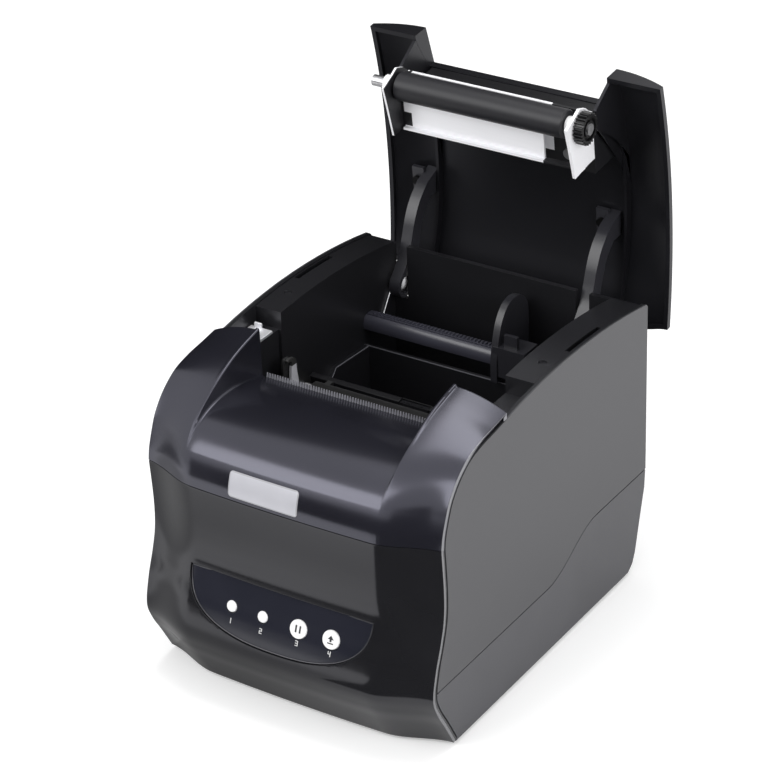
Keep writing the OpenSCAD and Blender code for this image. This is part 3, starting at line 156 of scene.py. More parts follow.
def seen(tree):
    """1 for camera, mirror and clear rays, 0 for spread light."""
    path = tree.nodes.new("ShaderNodeLightPath")
    eye_ray, mirror_ray, clear_ray = [Wire(tree, path.outputs[ray]) for ray in
                                      ("Is Camera Ray", "Is Glossy Ray", "Is Transmission Ray")]
    return eye_ray.either(mirror_ray).either(clear_ray)


def emptied(owner, output):
    """The cleared node tree of a world or material, and the socket that its look goes to."""
    owner.use_nodes = True
    owner.node_tree.nodes.clear()
    return owner.node_tree, owner.node_tree.nodes.new(output).inputs["Surface"]


FILL = 0.55
surround = bpy.data.worlds.new("studio")
scene.world = surround
tree, surface = emptied(surround, "ShaderNodeOutputWorld")
sky = Wire(tree).node("ShaderNodeBackground", {},
                      {"Color": (1, 1, 1, 1), "Strength": seen(tree) * (1 - FILL) + FILL})
tree.links.new(sky.socket, surface)

for name, place, aim, wide, power in (
    ("box_front", (-0.55, -1.0, 0.95), (0, 0, 0.08), 0.9, 9.0),
    ("box_right", (1.25, -0.35, 0.75), (0, 0, 0.08), 0.9, 8.0),
    ("box_top", (0.0, 0.25, 1.35), (0, 0.05, 0.1), 0.8, 7.0),
):
    lamp = bpy.data.lights.new(name, "AREA")
    lamp.shape = "SQUARE"
    lamp.size = wide
    lamp.energy = power
    box = bpy.data.objects.new(name, lamp)
    scene.collection.objects.link(box)
    box.location = place
    box.rotation_euler = (Vector(aim) - Vector(place)).to_track_quat("-Z", "Y").to_euler()

FLOOR_REACH = 6
FLOOR_WHITE = (0.86, 0.86, 0.86, 1)
floor_mesh = bpy.data.meshes.new("floor")
corners = [(x * FLOOR_REACH, y * FLOOR_REACH, 0) for x, y in ((-1, -1), (1, -1), (1, 1), (-1, 1))]
floor_mesh.from_pydata(corners, [], [(0, 1, 2, 3)])
ground = bpy.data.objects.new("floor", floor_mesh)
scene.collection.objects.link(ground)
pale = bpy.data.materials.new("pale_floor")
tree, surface = emptied(pale, "ShaderNodeOutputMaterial")
base = Wire(tree).node("ShaderNodeBsdfDiffuse", {}, {"Color": FLOOR_WHITE})
lift = Wire(tree).node("ShaderNodeEmission", {}, {"Color": (1, 1, 1, 1), "Strength": seen(tree) * 0.3})
tree.links.new(Wire(tree).node("ShaderNodeAddShader", {}, {0: base, 1: lift}).socket, surface)
floor_mesh.materials.append(pale)


# Dark cards: felt that only the polished faces see. Black ones lie on the floor in front and at the
# left and stand at the horizon and behind the left side, and a grey one fades out near the object.
CARD_LIFT = 0.0006


def lying(*places):
    return [(x, y, CARD_LIFT) for x, y in places]


def standing(a, b, low, high):
    return [(*a, low), (*b, low), (*b, high), (*a, high)]


black_cards = [lying((0.0, -2.49), (2.2, -2.49), (2.2, -0.14), (0.0, -0.14)),
               lying((-2.2, -2.5), (-0.001, -2.5), (-0.001, -0.36), (-0.3, -0.36)),
               standing((-2.3, -2.5), (0.4, -2.5), CARD_LIFT, 0.5),
               standing((-0.35, 0.0), (-0.1, 0.35), 0.1, 0.6),
               standing((0.4, -2.5), (3.5, -2.5), CARD_LIFT, 0.95),
               lying((-2.2, -0.359), (-0.501, -0.359), (-0.501, 0.3), (-2.2, 0.3))]
grey_card = lying((-0.5, -0.26), (-0.001, -0.26), (-0.001, -0.139), (0.15, -0.139), (0.15, 0.3), (-0.5, 0.3))
corners, faces = [], []
for outline in black_cards + [grey_card]:
    faces.append(tuple(range(len(corners), len(corners) + len(outline))))
    corners += outline
card_mesh = bpy.data.meshes.new("dark_card")
card_mesh.from_pydata(corners, [], faces)
card = bpy.data.objects.new("dark_card", card_mesh)
scene.collection.objects.link(card)
for ray in ("camera", "diffuse", "transmission", "volume_scatter", "shadow"):
    setattr(card, "visible_" + ray, False)
for name in ("black_felt", "grey_felt"):
    felt = bpy.data.materials.new(name)
    felt.use_nodes = True
    shader = felt.node_tree.nodes["Principled BSDF"]
    shader.inputs["Base Color"].default_value = (0.004, 0.004, 0.004, 1)
    shader.inputs["Specular IOR Level"].default_value = 0.0
    card_mesh.materials.append(felt)
card_mesh.polygons[len(black_cards)].material_index = 1
place = Wire(felt.node_tree).node("ShaderNodeTexCoord", {}, {}, "Object")
right_of = place.part(0).ease(-0.05, 0.1)
in_front = place.part(1).ease(-0.22, -0.15, 1.0, 0.0)
fade = right_of.either(in_front).blend((0.45, 0.45, 0.45, 1), (1.0, 1.0, 1.0, 1))
felt.node_tree.links.new(fade.socket, shader.inputs["Base Color"])


# Lower case: one moulding that makes the bowed front up to the parting line, both lower sides, the
# back and the floor. Black ABS, polished on the front and satin on the sides. Sizes are in millimetres.
MM = 0.001
HALF_WIDE = 77.0
SKIN_EDGE = 76.998
REAR = 96.0
CHIN = -95.4
FOOT_Z = 2.0
SPLIT = 105.0
SEAM = 0.17
SKIN = 2.8
BEHIND_SKIN = 3.15
WALL = 2.5
INSIDE = HALF_WIDE - WALL
BACK_HALF = 74.9


def smooth(t):
    """Runs from 0 to 1 with t, level at both ends."""
    t = min(max(t, 0.0), 1.0)
    return t * t * (3 - 2 * t)


def mix(a, b, t):
    return a + (b - a) * t


def knot(p, s):
    """The smooth curve through the points p, at s counted in points from the first."""
    i = min(int(s), len(p) - 2)
    t = s - i
    around = p[max(i - 1, 0)], p[i], p[i + 1], p[min(i + 2, len(p) - 1)]
    return [0.5 * (2 * b + (c - a) * t + (2 * a - 5 * b + 4 * c - d) * t * t
                   + (3 * b - a - 3 * c + d) * t ** 3) for a, b, c, d in zip(*around)]


def aside(p, d):
    """The line p moved sideways by d."""
    out = []
    for i, q in enumerate(p):
        a, b = p[max(i - 1, 0)], p[min(i + 1, len(p) - 1)]
        u, v = b[0] - a[0], b[1] - a[1]
        m = sqrt(u * u + v * v)
        out.append([q[0] + d * v / m, q[1] - d * u / m])
    return out


BOW_CORNER = 7.597
BOW_RUN = 30
BOW_MIDDLE = 2.6


def bow(x):
    """How far the front stands out at x: rounded off near the sides and gently bowed between."""
    return BOW_CORNER * smooth((HALF_WIDE - abs(x)) / BOW_RUN) + BOW_MIDDLE * (1 - (x / HALF_WIDE) ** 2)


def side_line(y):
    """The wavy top edge of the lower case's sides."""
    return 36 + 15.8 * smooth((y - 4) / 44)


LOW_LINE = [(CHIN + 16, FOOT_Z), (CHIN + 8.8, 14.8), (CHIN + 3.2, 24.4), (CHIN, 34), (CHIN + 2.7, 47),
            (CHIN + 7.13, 59), (CHIN + 10.15, 70), (CHIN + 10.8, 84), (CHIN + 9.5, SPLIT)]
LOW_STEPS = 30
LOW_FINE = [knot(LOW_LINE, k / LOW_STEPS) for k in range((len(LOW_LINE) - 1) * LOW_STEPS)] + [LOW_LINE[-1]]


def low_y(z):
    """How deep the lower front's middle line lies at a height, without its bow."""
    for a, b in zip(LOW_FINE, LOW_FINE[1:]):
        if z <= b[1]:
            return mix(a[0], b[0], (z - a[1]) / (b[1] - a[1]))
    return LOW_FINE[-1][0]


def low_front(x, z, deep=0.0):
    """A point of the lower front, or one that lies deeper than its surface."""
    u = low_y(z + 0.5) - low_y(z - 0.5)
    v = bow(x + 0.5) - bow(x - 0.5)
    m = sqrt(1 + u * u + v * v)
    return (x + deep * v / m, low_y(z) - bow(x) + deep / m, z - deep * u / m)


def piece(name, verts, faces, finish=None):
    """An object from points in millimetres."""
    mesh = bpy.data.meshes.new(name)
    mesh.from_pydata([[c * MM for c in v] for v in verts], [], faces)
    mesh.validate()
    thing = bpy.data.objects.new(name, mesh)
    scene.collection.objects.link(thing)
    if finish:
        mesh.materials.append(finish)
    return thing


def settle(thing):
    """Turns the modifiers of a piece into its mesh."""
    graph = bpy.context.evaluated_depsgraph_get()
    baked = bpy.data.meshes.new_from_object(thing.evaluated_get(graph), depsgraph=graph)
    thing.modifiers.clear()
    thing.data = baked
    return thing


def soften(thing, edge=0.3, thick=None, steps=2, limit=32):
    """Gives a sheet its thickness, rounds the sharp edges and smooths what is left."""
    if thick:
        wall = thing.modifiers.new("wall", "SOLIDIFY")
        wall.thickness = thick * MM
        wall.offset = -1
    bevel = thing.modifiers.new("edge", "BEVEL")
    bevel.width = edge * MM
    bevel.segments = steps
    bevel.limit_method = "ANGLE"
    bevel.angle_limit = radians(limit)
    settle(thing)
    thing.data.shade_smooth()
    thing.data.set_sharp_from_angle(angle=radians(limit + 8))
    even = thing.modifiers.new("even", "WEIGHTED_NORMAL")
    even.keep_sharp = True
    return settle(thing)


def loop_of(ring):
    """The sides of a closed outline, as pairs of points."""
    return zip(ring, ring[1:] + ring[:1])


def inside(p, ring):
    hit = False
    for (x0, y0), (x1, y1) in loop_of(ring):
        if (y0 > p[1]) != (y1 > p[1]) and p[0] < (x1 - x0) * (p[1] - y0) / (y1 - y0) + x0:
            hit = not hit
    return hit


def distance(p, ring):
    """How far a point is from an outline."""
    best = 1e9
    for (x0, y0), (x1, y1) in loop_of(ring):
        dx, dy = x1 - x0, y1 - y0
        t = min(max(((p[0] - x0) * dx + (p[1] - y0) * dy) / max(dx * dx + dy * dy, 1e-12), 0), 1)
        best = min(best, (p[0] - x0 - t * dx) ** 2 + (p[1] - y0 - t * dy) ** 2)
    return sqrt(best)


def filling(outer, holes, step):
    """Points in staggered rows inside an outline and outside its holes, clear of their edges."""
    points = []
    xs, ys = [p[0] for p in outer], [p[1] for p in outer]
    boxes = [(min(p[0] for p in ring) - step, max(p[0] for p in ring) + step,
              min(p[1] for p in ring) - step, max(p[1] for p in ring) + step) for ring in holes]
    apart = step * 0.45
    is_box = len(outer) == 4
    row = 0
    y = min(ys) + step * 0.7
    while y < max(ys) - step * 0.4:
        x = min(xs) + step * (0.7 if row % 2 else 1.2)
        while x < max(xs) - step * 0.4:
            ok = is_box or (inside((x, y), outer) and distance((x, y), outer) > apart)
            for ring, (x0, x1, y0, y1) in zip(holes, boxes):
                if ok and x0 < x < x1 and y0 < y < y1:
                    ok = not inside((x, y), ring) and distance((x, y), ring) > apart
            if ok:
                points.append((x, y))
            x += step
        y += step * 0.87
        row += 1
    return points


def sheet_of(name, outer, holes, lift, step, finish, flip=False):
    """A sheet inside an outline, with holes, filled at a step and lifted point by point onto a surface."""
    points, edges = [], []
    for ring in [outer] + holes:
        first = len(points)
        for (x0, y0), (x1, y1) in loop_of(ring):
            n = max(1, int(sqrt((x1 - x0) ** 2 + (y1 - y0) ** 2) / step + 0.5))
            points += [(mix(x0, x1, k / n), mix(y0, y1, k / n)) for k in range(n)]
        count = len(points) - first
        edges += [(first + k, first + (k + 1) % count) for k in range(count)]
    points += filling(outer, holes, step)
    verts, _, faces, _, _, _ = delaunay_2d_cdt([Vector(p) for p in points], edges, [], 0, 1e-5)
    keep = []
    for f in faces:
        middle = (sum(verts[i].x for i in f) / len(f), sum(verts[i].y for i in f) / len(f))
        if inside(middle, outer) and not any(inside(middle, ring) for ring in holes):
            keep.append(list(reversed(f)) if flip else list(f))
    used = sorted({i for f in keep for i in f})
    back = {v: k for k, v in enumerate(used)}
    raised = [lift(verts[i].x, verts[i].y) for i in used]
    return piece(name, raised, [[back[i] for i in f] for f in keep], finish)


MOON_MID = -1
MOON_HALF = 48.5
MOON_TOP = 64.6
MOON_DEEP = 27
MOON_POWER = 2 / 2.4


def half_moon(grow, n=60):
    """The outline of the control panel: straight on top and a full, blunt arc below."""
    ring = []
    for k in range(n + 1):
        a = pi + pi * k / n
        c, s = cos(a), sin(a)
        ring.append((MOON_MID + (MOON_HALF + grow) * (1 if c > 0 else -1) * abs(c) ** MOON_POWER,
                     MOON_TOP + grow + (MOON_DEEP + 2 * grow) * -(abs(s) ** MOON_POWER)))
    return ring


def new_finish(name):
    """An empty material, its shader, and the place on the piece that its patterns follow."""
    finish = bpy.data.materials.new(name)
    tree, surface = emptied(finish, "ShaderNodeOutputMaterial")
    shader = tree.nodes.new("ShaderNodeBsdfPrincipled")
    tree.links.new(shader.outputs[0], surface)
    return finish, shader, Wire(tree).node("ShaderNodeTexCoord", {}, {}, "Object")


def feed(shader, values):
    """Gives the shader what varies as wires, and what is the same all over on its own sockets."""
    for name, value in values.items():
        if isinstance(value, Wire):
            value.tree.links.new(value.socket, shader.inputs[name])
        else:
            shader.inputs[name].default_value = value


def grey(v, blue=1.0):
    """A grey of a brightness, bluer or warmer where blue isn't 1."""
    return (v, v, v * blue, 1)


EDGE_HIGHLIGHT_AT = 0.07685


def moulded(name, colour, rough, grain=0.04, pit=10, scale=900, level=0.5, flow=0.03, blue=1.12, cool=1.0,
            rim=0):
    """Moulded plastic: a spark-eroded grain, its pits in microns, and slow changes of gloss and tone; a rim
    grey paints a highlight on the side edges.
    """
    finish, shader, place = new_finish(name)
    fine = place.noise(scale, 3.0, 0.6)
    slow = place.noise(22)
    shade = slow.ease(0.35, 0.65).blend(grey(colour * 0.93, blue), grey(colour * 1.07, blue))
    if rim:
        # a highlight painted on the side edge of a polished skin: paler than its face, as where the light
        # catches it
        shade = (place.part(0).size() > EDGE_HIGHLIGHT_AT).blend(shade, grey(rim, 1.05))
    feed(shader, {"Base Color": shade, "Normal": fine.bumps(pit),
                  "Roughness": slow * flow + fine * grain + (rough - flow / 2 - grain / 2),
                  "Specular IOR Level": level, "Specular Tint": (cool, cool, 1.0, 1.0)})
    return finish


def slab(name, one, other, finish):
    """A solid between two like outlines."""
    n = len(one)
    faces = [list(range(n))[::-1], list(range(n, 2 * n))]
    faces += [[i, (i + 1) % n, n + (i + 1) % n, n + i] for i in range(n)]
    return piece(name, one + other, faces, finish)


def plate(name, outline, x0, x1, finish=None):
    """A plate of a side-view outline between two places across the width."""
    if sum(a[0] * b[1] - b[0] * a[1] for a, b in loop_of(outline)) < 0:
        outline = outline[::-1]
    return slab(name, [(x0, y, z) for y, z in outline], [(x1, y, z) for y, z in outline], finish)


def join(name, parts):
    """Makes one object of several."""
    mesh = bmesh.new()
    stuff = []
    for part in parts:
        table = []
        for m in part.data.materials:
            if m not in stuff:
                stuff.append(m)
            table.append(stuff.index(m))
        first = len(mesh.faces)
        mesh.from_mesh(part.data)
        mesh.faces.ensure_lookup_table()
        for f in mesh.faces[first:]:
            f.material_index = table[f.material_index] if table else 0
        bpy.data.objects.remove(part)
    whole = bpy.data.meshes.new(name)
    mesh.to_mesh(whole)
    mesh.free()
    for m in stuff:
        whole.materials.append(m)
    thing = bpy.data.objects.new(name, whole)
    scene.collection.objects.link(thing)
    return thing


def box_hole(x0, x1, y0, y1):
    return [(x0, y0), (x1, y0), (x1, y1), (x0, y1)]


def ring_hole(x, y, r, n=20):
    return [(x + r * cos(2 * pi * k / n), y + r * sin(2 * pi * k / n)) for k in range(n)]


# the polished skins carry a highlight painted on their side edges (rim)
case_front = moulded("polished_case_black", 0.013, 0.13, grain=0.01, pit=4, scale=500, blue=1.15, cool=0.94,
                     rim=0.17)
case_side = moulded("satin_case_black", 0.062, 0.42, pit=30, scale=1400)
front_outline = box_hole(-SKIN_EDGE, SKIN_EDGE, FOOT_Z, SPLIT - SEAM)
front_skin = sheet_of("case_front_skin", front_outline, [half_moon(0.15)], low_front, 1.7, case_front)
case_parts = [soften(front_skin, 0.2, SKIN)]
side_top = [(y, side_line(y) - 0.4) for y in (mix(REAR, CHIN + BEHIND_SKIN, k / 60) for k in range(61))]
nose = [p for p in aside(LOW_FINE, BEHIND_SKIN) if FOOT_Z < p[1] < 35]
heel = [(REAR, 51.65), (95.2, 42), (91.1, 27.4), (86.5, 10), (84, 5), (79.7, FOOT_Z)]
side_shape = side_top + nose[::-1] + [(CHIN + 17.5, FOOT_Z)] + heel[::-1][:-1]
for x0 in (-HALF_WIDE, INSIDE):
    case_parts.append(soften(plate("side_wall", side_shape, x0, x0 + WALL, case_side), 0.35))
back_wall = plate("back_wall", heel + aside(heel, WALL)[::-1], -BACK_HALF, BACK_HALF, case_side)
opening = plate("socket_opening", box_hole(66, 97, 8, 30), -12, 56)
cut = back_wall.modifiers.new("cut", "BOOLEAN")
cut.object = opening
cut.solver = "EXACT"
settle(back_wall)
bpy.data.objects.remove(opening)
case_parts.append(soften(back_wall, 0.35))
keel = [(x, CHIN + 17 - bow(x)) for x in [mix(-INSIDE, INSIDE, k / 24) for k in range(25)]]
keel += [(BACK_HALF, 81), (-BACK_HALF, 81)]
air_slots = [box_hole(-30 + 6 * k, -28 + 6 * k, 0, 30) for k in range(9)]
screw_holes = [ring_hole(s * 69.8, y, 2.95) for s in (-1, 1) for y in (-58, 76)]
bottom = sheet_of("bottom", keel, air_slots + screw_holes, lambda x, y: (x, y, FOOT_Z + 0.02), 9, case_side,
                  True)
case_parts.append(soften(bottom, 0.3, WALL - 0.05))
lower_case = join("lower_case", case_parts)
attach(lower_case, "case")
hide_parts("base_case")


# Upper housing: satin sides that carry on the line of the lower case, and the black decks, roll
# bay and back wall inside them. One ABS moulding, spark grained on the outside.
@contextmanager
def mending(mesh):
    """Opens a mesh for work on its points and faces, and puts the result back."""
    work = bmesh.new()
    work.from_mesh(mesh)
    yield work
    work.to_mesh(mesh)
    work.free()


def eased(name, node, body, finish, edge=0.3, steps=2):
    """A carefully rounded copy of a plain moulding."""
    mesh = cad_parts[node].data.copy()
    with mending(mesh) as work:
        bmesh.ops.remove_doubles(work, verts=work.verts, dist=2e-6)
        bmesh.ops.dissolve_limit(work, angle_limit=radians(1.0), verts=work.verts, edges=work.edges)
    mesh.materials.clear()
    mesh.materials.append(finish)
    for f in mesh.polygons:
        f.material_index = 0
    thing = bpy.data.objects.new(name, mesh)
    scene.collection.objects.link(thing)
    soften(thing, edge, None, steps)
    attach(thing, body)
    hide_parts(node)
    return thing


OUTER_FACE = 0.0762
SHELF_Y, SHELF_Z = 0.0656, 0.0964
LEDGE_X = -0.0581
housing_finish, shader, place = new_finish("housing_plastic")
across, depth, height = [place.part(axis) for axis in range(3)]
fine = place.noise(1400, 3.0, 0.6)
slow = place.noise(16)
outside = across.size() > OUTER_FACE
# highlights painted on the edges of the shelf across the bay, and of the ledge along its left wall, which
# slopes up from the front and then runs nearly level: paler, as where the light catches them
shelf_highlight = depth.near(SHELF_Y).both(height.near(SHELF_Z))
ledge_line = (height + depth * 0.06 > 0.09985).either(height - depth * 1.04 > 0.05875)
ledge_highlight = across.near(LEDGE_X).both(ledge_line).both(height < 0.0995).both(depth.between(0.026, 0.0655))
hollow = shelf_highlight.either(ledge_highlight).blend(slow.blend(grey(0.010, 1.15), grey(0.014, 1.15)), grey(0.16, 1.12))
feed(shader, {"Base Color": outside.blend(hollow, slow.blend(grey(0.056, 1.06), grey(0.068, 1.06))),
              "Roughness": outside * 0.1 + slow * 0.06 + fine * 0.04 + 0.28,
              "Normal": fine.bumps(20),
              "Specular IOR Level": 0.5, "Specular Tint": (0.94, 0.94, 1.0, 1.0)})
eased("upper_housing", "mid_housing", "case", housing_finish, 0.35)


# Front cover: the upper front with its two crowned ears and the valley between them that guides the
# torn paper. Polished black ABS, one thin moulding, snapped to the housing above the parting line.
FRONT = -96.0
LID_Y = -31.0
SIDE_TOP = 146.9
HIGH_Y = 24


def rim(y):
    """The top edge of the housing's sides, which the shut lid meets."""
    if y > HIGH_Y:
        return SIDE_TOP - 6.9 * ((y - HIGH_Y) / (REAR - HIGH_Y)) ** 2
    return SIDE_TOP - 4.5 * ((HIGH_Y - y) / (HIGH_Y - LID_Y)) ** 2


UP_LINE = [(CHIN + 9.5, SPLIT), (CHIN + 10.5, 111), (FRONT + 14, 119), (FRONT + 17.4, 126),
           (FRONT + 24, 133.6), (FRONT + 33.5, 139.8), (FRONT + 44, 142.6), (FRONT + 54, 143.9),
           (LID_Y, rim(LID_Y) + 3)]
LAST = len(UP_LINE) - 1
BOW_AT = (1, 1.05, 1.05, .88, .53, .33, .14, .05, 0)
CROWN_AT = (0, .07, .07, .1, .16, .2, .58, .85, 1)
VALLEY_AT = (0, 0, 0, .056, .16, .333, .554, .767, 1)
VALLEY_DEEP = 23.6
EAR_L, EAR_R = -51.5, 49.6
EAR_CROWN = 6.3
BORDER = 0.9


def ear(x):
    """0 at an ear's inner edge, 1 at the side of the case."""
    return max((EAR_L - x) / (EAR_L + HALF_WIDE), (x - EAR_R) / (HALF_WIDE - EAR_R), 0.0)


def crown(x):
    """How high the crowned ears and lid rise at x."""
    return EAR_CROWN * (1 - ear(x) ** 2)


def cover_at(x, s, low):
    """A point of the upper front; s is 0 at the parting line and LAST at the lid, low is 1 in the valley."""
    row = [(y - bow(x) * bowed, z + crown(x) * crowned - low * VALLEY_DEEP * sunk)
           for (y, z), bowed, crowned, sunk in zip(UP_LINE, BOW_AT, CROWN_AT, VALLEY_AT)]
    return knot(row, s)


def ear_walls(drop):
    """The two ears' rounded walls at one row, from the top inwards: places across and depths."""
    r = min(0.8, drop * 0.4)
    foot = max(drop - r * 1.4, r)
    squeeze = min(1, drop / max(r * 2.4, 1e-6))
    quarter = [pi / 2 * k / 6 for k in range(7)]
    walls = []
    for edge, way in ((EAR_L, 1), (EAR_R, -1)):
        wall = [(edge - way * off, 0.0) for off in (3.3, 2.6, 2.25, 1.95, 1.5)]
        wall += [(edge - way * (0.3 + r * (1 - sin(a))), r * (1 - cos(a))) for a in quarter]
        wall += [(edge - way * 0.3 * (1 - k / 6), mix(r, foot, k / 6)) for k in range(1, 6)]
        wall += [(edge + way * r * 1.4 * (1 - cos(a)), foot + r * 1.4 * sin(a) * squeeze) for a in quarter]
        walls.append(wall)
    return walls


def closer(t):
    """Steps that lie a little closer together at both ends."""
    return smooth(t) * 0.35 + 0.65 * t


EAR_COLS = 40
LEFT_COLS = [mix(-SKIN_EDGE, EAR_L - 3.9, closer(k / EAR_COLS)) for k in range(EAR_COLS)]
RIGHT_COLS = [mix(EAR_R + 3.9, SKIN_EDGE, 1 - closer(1 - k / EAR_COLS)) for k in range(1, EAR_COLS + 1)]
VALLEY_COLS = 64


def cover_row(s):
    """The points across the cover at s: ear, valley and ear, with a border along the ears' inner edges."""
    drop = VALLEY_DEEP * knot([(v,) for v in VALLEY_AT], s)[0]
    drop = drop if drop > 0.15 else 0.0
    left, right = ear_walls(drop)
    line = [(x, 0.0) for x in LEFT_COLS] + left
    line += [(mix(left[-1][0], right[-1][0], k / VALLEY_COLS), drop) for k in range(1, VALLEY_COLS)]
    line += right[::-1] + [(x, 0.0) for x in RIGHT_COLS]
    border = BORDER * smooth((s - 4.6) / 2.6)
    row = []
    for x, d in line:
        share = d / drop if drop else 0.0
        y, z = cover_at(x, s, share)
        off = EAR_L - x if x < 0 else x - EAR_R
        if off > -0.01:
            z += border * smooth((2.3 - off) / 0.35)
        elif d < drop:
            z += border * (1 - share)
        row.append((x, min(y, LID_Y), z + SEAM if s == 0 else z))
    return row


COVER_ROWS = 96
LIP_DEEP = 6.3
rows = [cover_row(LAST * k / COVER_ROWS) for k in range(COVER_ROWS + 1)]
# the edge under the lid turns down: to the case at the ears, and as a short lip in the valley
rows += [[(x, y, mix(z, rim(LID_Y) + 0.1 if ear(x) > 0.015 else z - LIP_DEEP, k / 3))
          for x, y, z in rows[COVER_ROWS]] for k in range(1, 4)]
wide = len(rows[0])
faces = [(i * wide + j, i * wide + j + 1, (i + 1) * wide + j + 1, (i + 1) * wide + j)
         for i in range(len(rows) - 1) for j in range(wide - 1)]
# the cover's skin carries a highlight painted on its side edges (rim)
cover_finish = moulded("polished_cover_black", 0.012, 0.21, grain=0.01, pit=3, scale=420, level=0.85,
                       blue=1.4, cool=0.84, rim=0.17)
cover = piece("front_cover_skin", [p for row in rows for p in row], faces, cover_finish)
with mending(cover.data) as work:
    bmesh.ops.remove_doubles(work, verts=work.verts, dist=5e-6)
    bmesh.ops.dissolve_degenerate(work, dist=5e-6, edges=work.edges)
soften(cover, 0.2, 2.6, 2, 50)
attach(cover, "case")
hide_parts("front_cover")


# Badge plate: a thin plate with rounded corners and a silver-grey film, pressed into its pocket on
# the upper front. It is bare.
BADGE_X, BADGE_Z = -8.0, 112.8
BADGE_WIDE, BADGE_TALL = 18.2, 5.9
BADGE_EDGE = 0.6
BADGE_PROUD = 0.35


def rounded(x, y, wide, tall, r, n=6):
    """A plate's outline about its middle, from half its width and height, with n steps to each corner."""
    ring = []
    for turn, (way_x, way_y) in enumerate(((1, -1), (1, 1), (-1, 1), (-1, -1)), -1):
        corner_x, corner_y = x + way_x * (wide - r), y + way_y * (tall - r)
        for a in [radians(90 * turn + 90 * k / n) for k in range(n + 1)]:
            ring.append((corner_x + r * cos(a), corner_y + r * sin(a)))
    return ring


def cover_point(x, z):
    """The place on the badge's face at x and height z, found by halving."""
    low, high = 0.0, 3.0
    for _ in range(24):
        s = (low + high) / 2
        if cover_at(x, s, 0)[1] < z:
            low = s
        else:
            high = s
    return (x, cover_at(x, low, 0)[0] - BADGE_PROUD, z)


badge_finish, shader, place = new_finish("badge_film")
cloud = place.noise(90)
off_x = (place.part(0) - BADGE_X * MM).size() - (BADGE_WIDE - BADGE_EDGE) * MM
off_z = (place.part(2) - BADGE_Z * MM).size() - (BADGE_TALL - BADGE_EDGE) * MM
border = off_x.either(off_z) > 0.0
feed(shader, {"Base Color": border.blend(cloud.blend(grey(0.47, 1.08), grey(0.53, 1.08)), grey(0.36, 1.06)),
              "Roughness": cloud * 0.08 + 0.3, "Metallic": 0.1, "Specular IOR Level": 0.5})
badge_outline = rounded(BADGE_X, BADGE_Z, BADGE_WIDE, BADGE_TALL, 1.6)
badge = sheet_of("badge", badge_outline, [], cover_point, 1.6, badge_finish)
soften(badge, 0.15, 1.0)
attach(badge, "case")
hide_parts("badge_plate")


# Control panel: a sunk half-moon of dark blue-black acrylic with holes for two lamps and two keys,
# a thin bead round its edge and a printed number under each hole. Glued into the lower front.
PANEL_SINK = 1.0
KEY_LEAN = 20.2541
KEY_Z = 52.3
KEY_XS = {"power": -25.2, "error": -8.4, "pause": 10.8, "feed": 27.8}
KEY_HOLES = {"power": 2.9, "error": 2.9, "pause": 4.55, "feed": 4.55}


def at_key(x):
    """Where a lamp or key sits: on the sunk panel and square to its leaning face."""
    turn = Matrix.Rotation(radians(90 - KEY_LEAN), 4, "X")
    sink = Matrix.Translation((0, 0, -PANEL_SINK))
    return Matrix.Translation((x, low_y(KEY_Z) - bow(x), KEY_Z)) @ turn @ sink


def key_hole(x, r, n=32):
    """A round hole square to the leaning face, as the outline that it has seen from the front."""
    ring = [at_key(x) @ Vector((r * cos(2 * pi * k / n), r * sin(2 * pi * k / n), 0)) for k in range(n)]
    return [(p.x, p.z) for p in ring]


def bead(name, ring, radius, finish, n=8):
    """A closed round bead along a ring of points."""
    verts, count = [], len(ring)
    for k, p in enumerate(ring):
        run = (Vector(ring[(k + 1) % count]) - Vector(ring[k - 1])).normalized()
        out = run.cross(Vector((0, -1, 0))).normalized()
        up = out.cross(run)
        for a in [2 * pi * step / n for step in range(n)]:
            verts.append(Vector(p) + (out * cos(a) + up * sin(a)) * radius)
    faces = [(k * n + a, k * n + (a + 1) % n, (k + 1) % count * n + (a + 1) % n, (k + 1) % count * n + a)
             for k in range(count) for a in range(n)]
    thing = piece(name, verts, faces, finish)
    with mending(thing.data) as work:
        bmesh.ops.recalc_face_normals(work, faces=work.faces)
    thing.data.shade_smooth()
    return thing


def flat_shape(name, outline, z0, z1, finish):
    """A flat shape of an outline, between two heights."""
    return slab(name, [(x, y, z0) for x, y in outline], [(x, y, z1) for x, y in outline], finish)


def figure(number, y, tall, finish):
    """A plain number made of straight strokes, in place of a printed label."""
    w, h, t = tall * 0.26, tall / 2, tall * 0.09
    strokes = {"a": (-w, w, h, h), "g": (-w, w, 0, 0), "d": (-w, w, -h, -h), "f": (-w, -w, 0, h),
               "b": (w, w, 0, h), "e": (-w, -w, -h, 0), "c": (w, w, -h, 0)}
    parts = []
    for k, stroke in enumerate({1: "bc", 2: "abged", 3: "abgcd", 4: "fgbc"}[number]):
        x0, x1, y0, y1 = strokes[stroke]
        # each stroke stands a hair higher than the last, so that no two tops share a plane
        outline = box_hole(x0 - t, x1 + t, y + y0 - t, y + y1 + t)
        parts.append(flat_shape("stroke", outline, -0.1, 0.03 + 0.004 * k, finish))
    return parts


def put(thing, matrix):
    """Moves a piece's mesh to a place given in millimetres."""
    shift = matrix.copy()
    shift.translation = matrix.translation * MM
    thing.data.transform(shift)
    thing.data.update()
    return thing


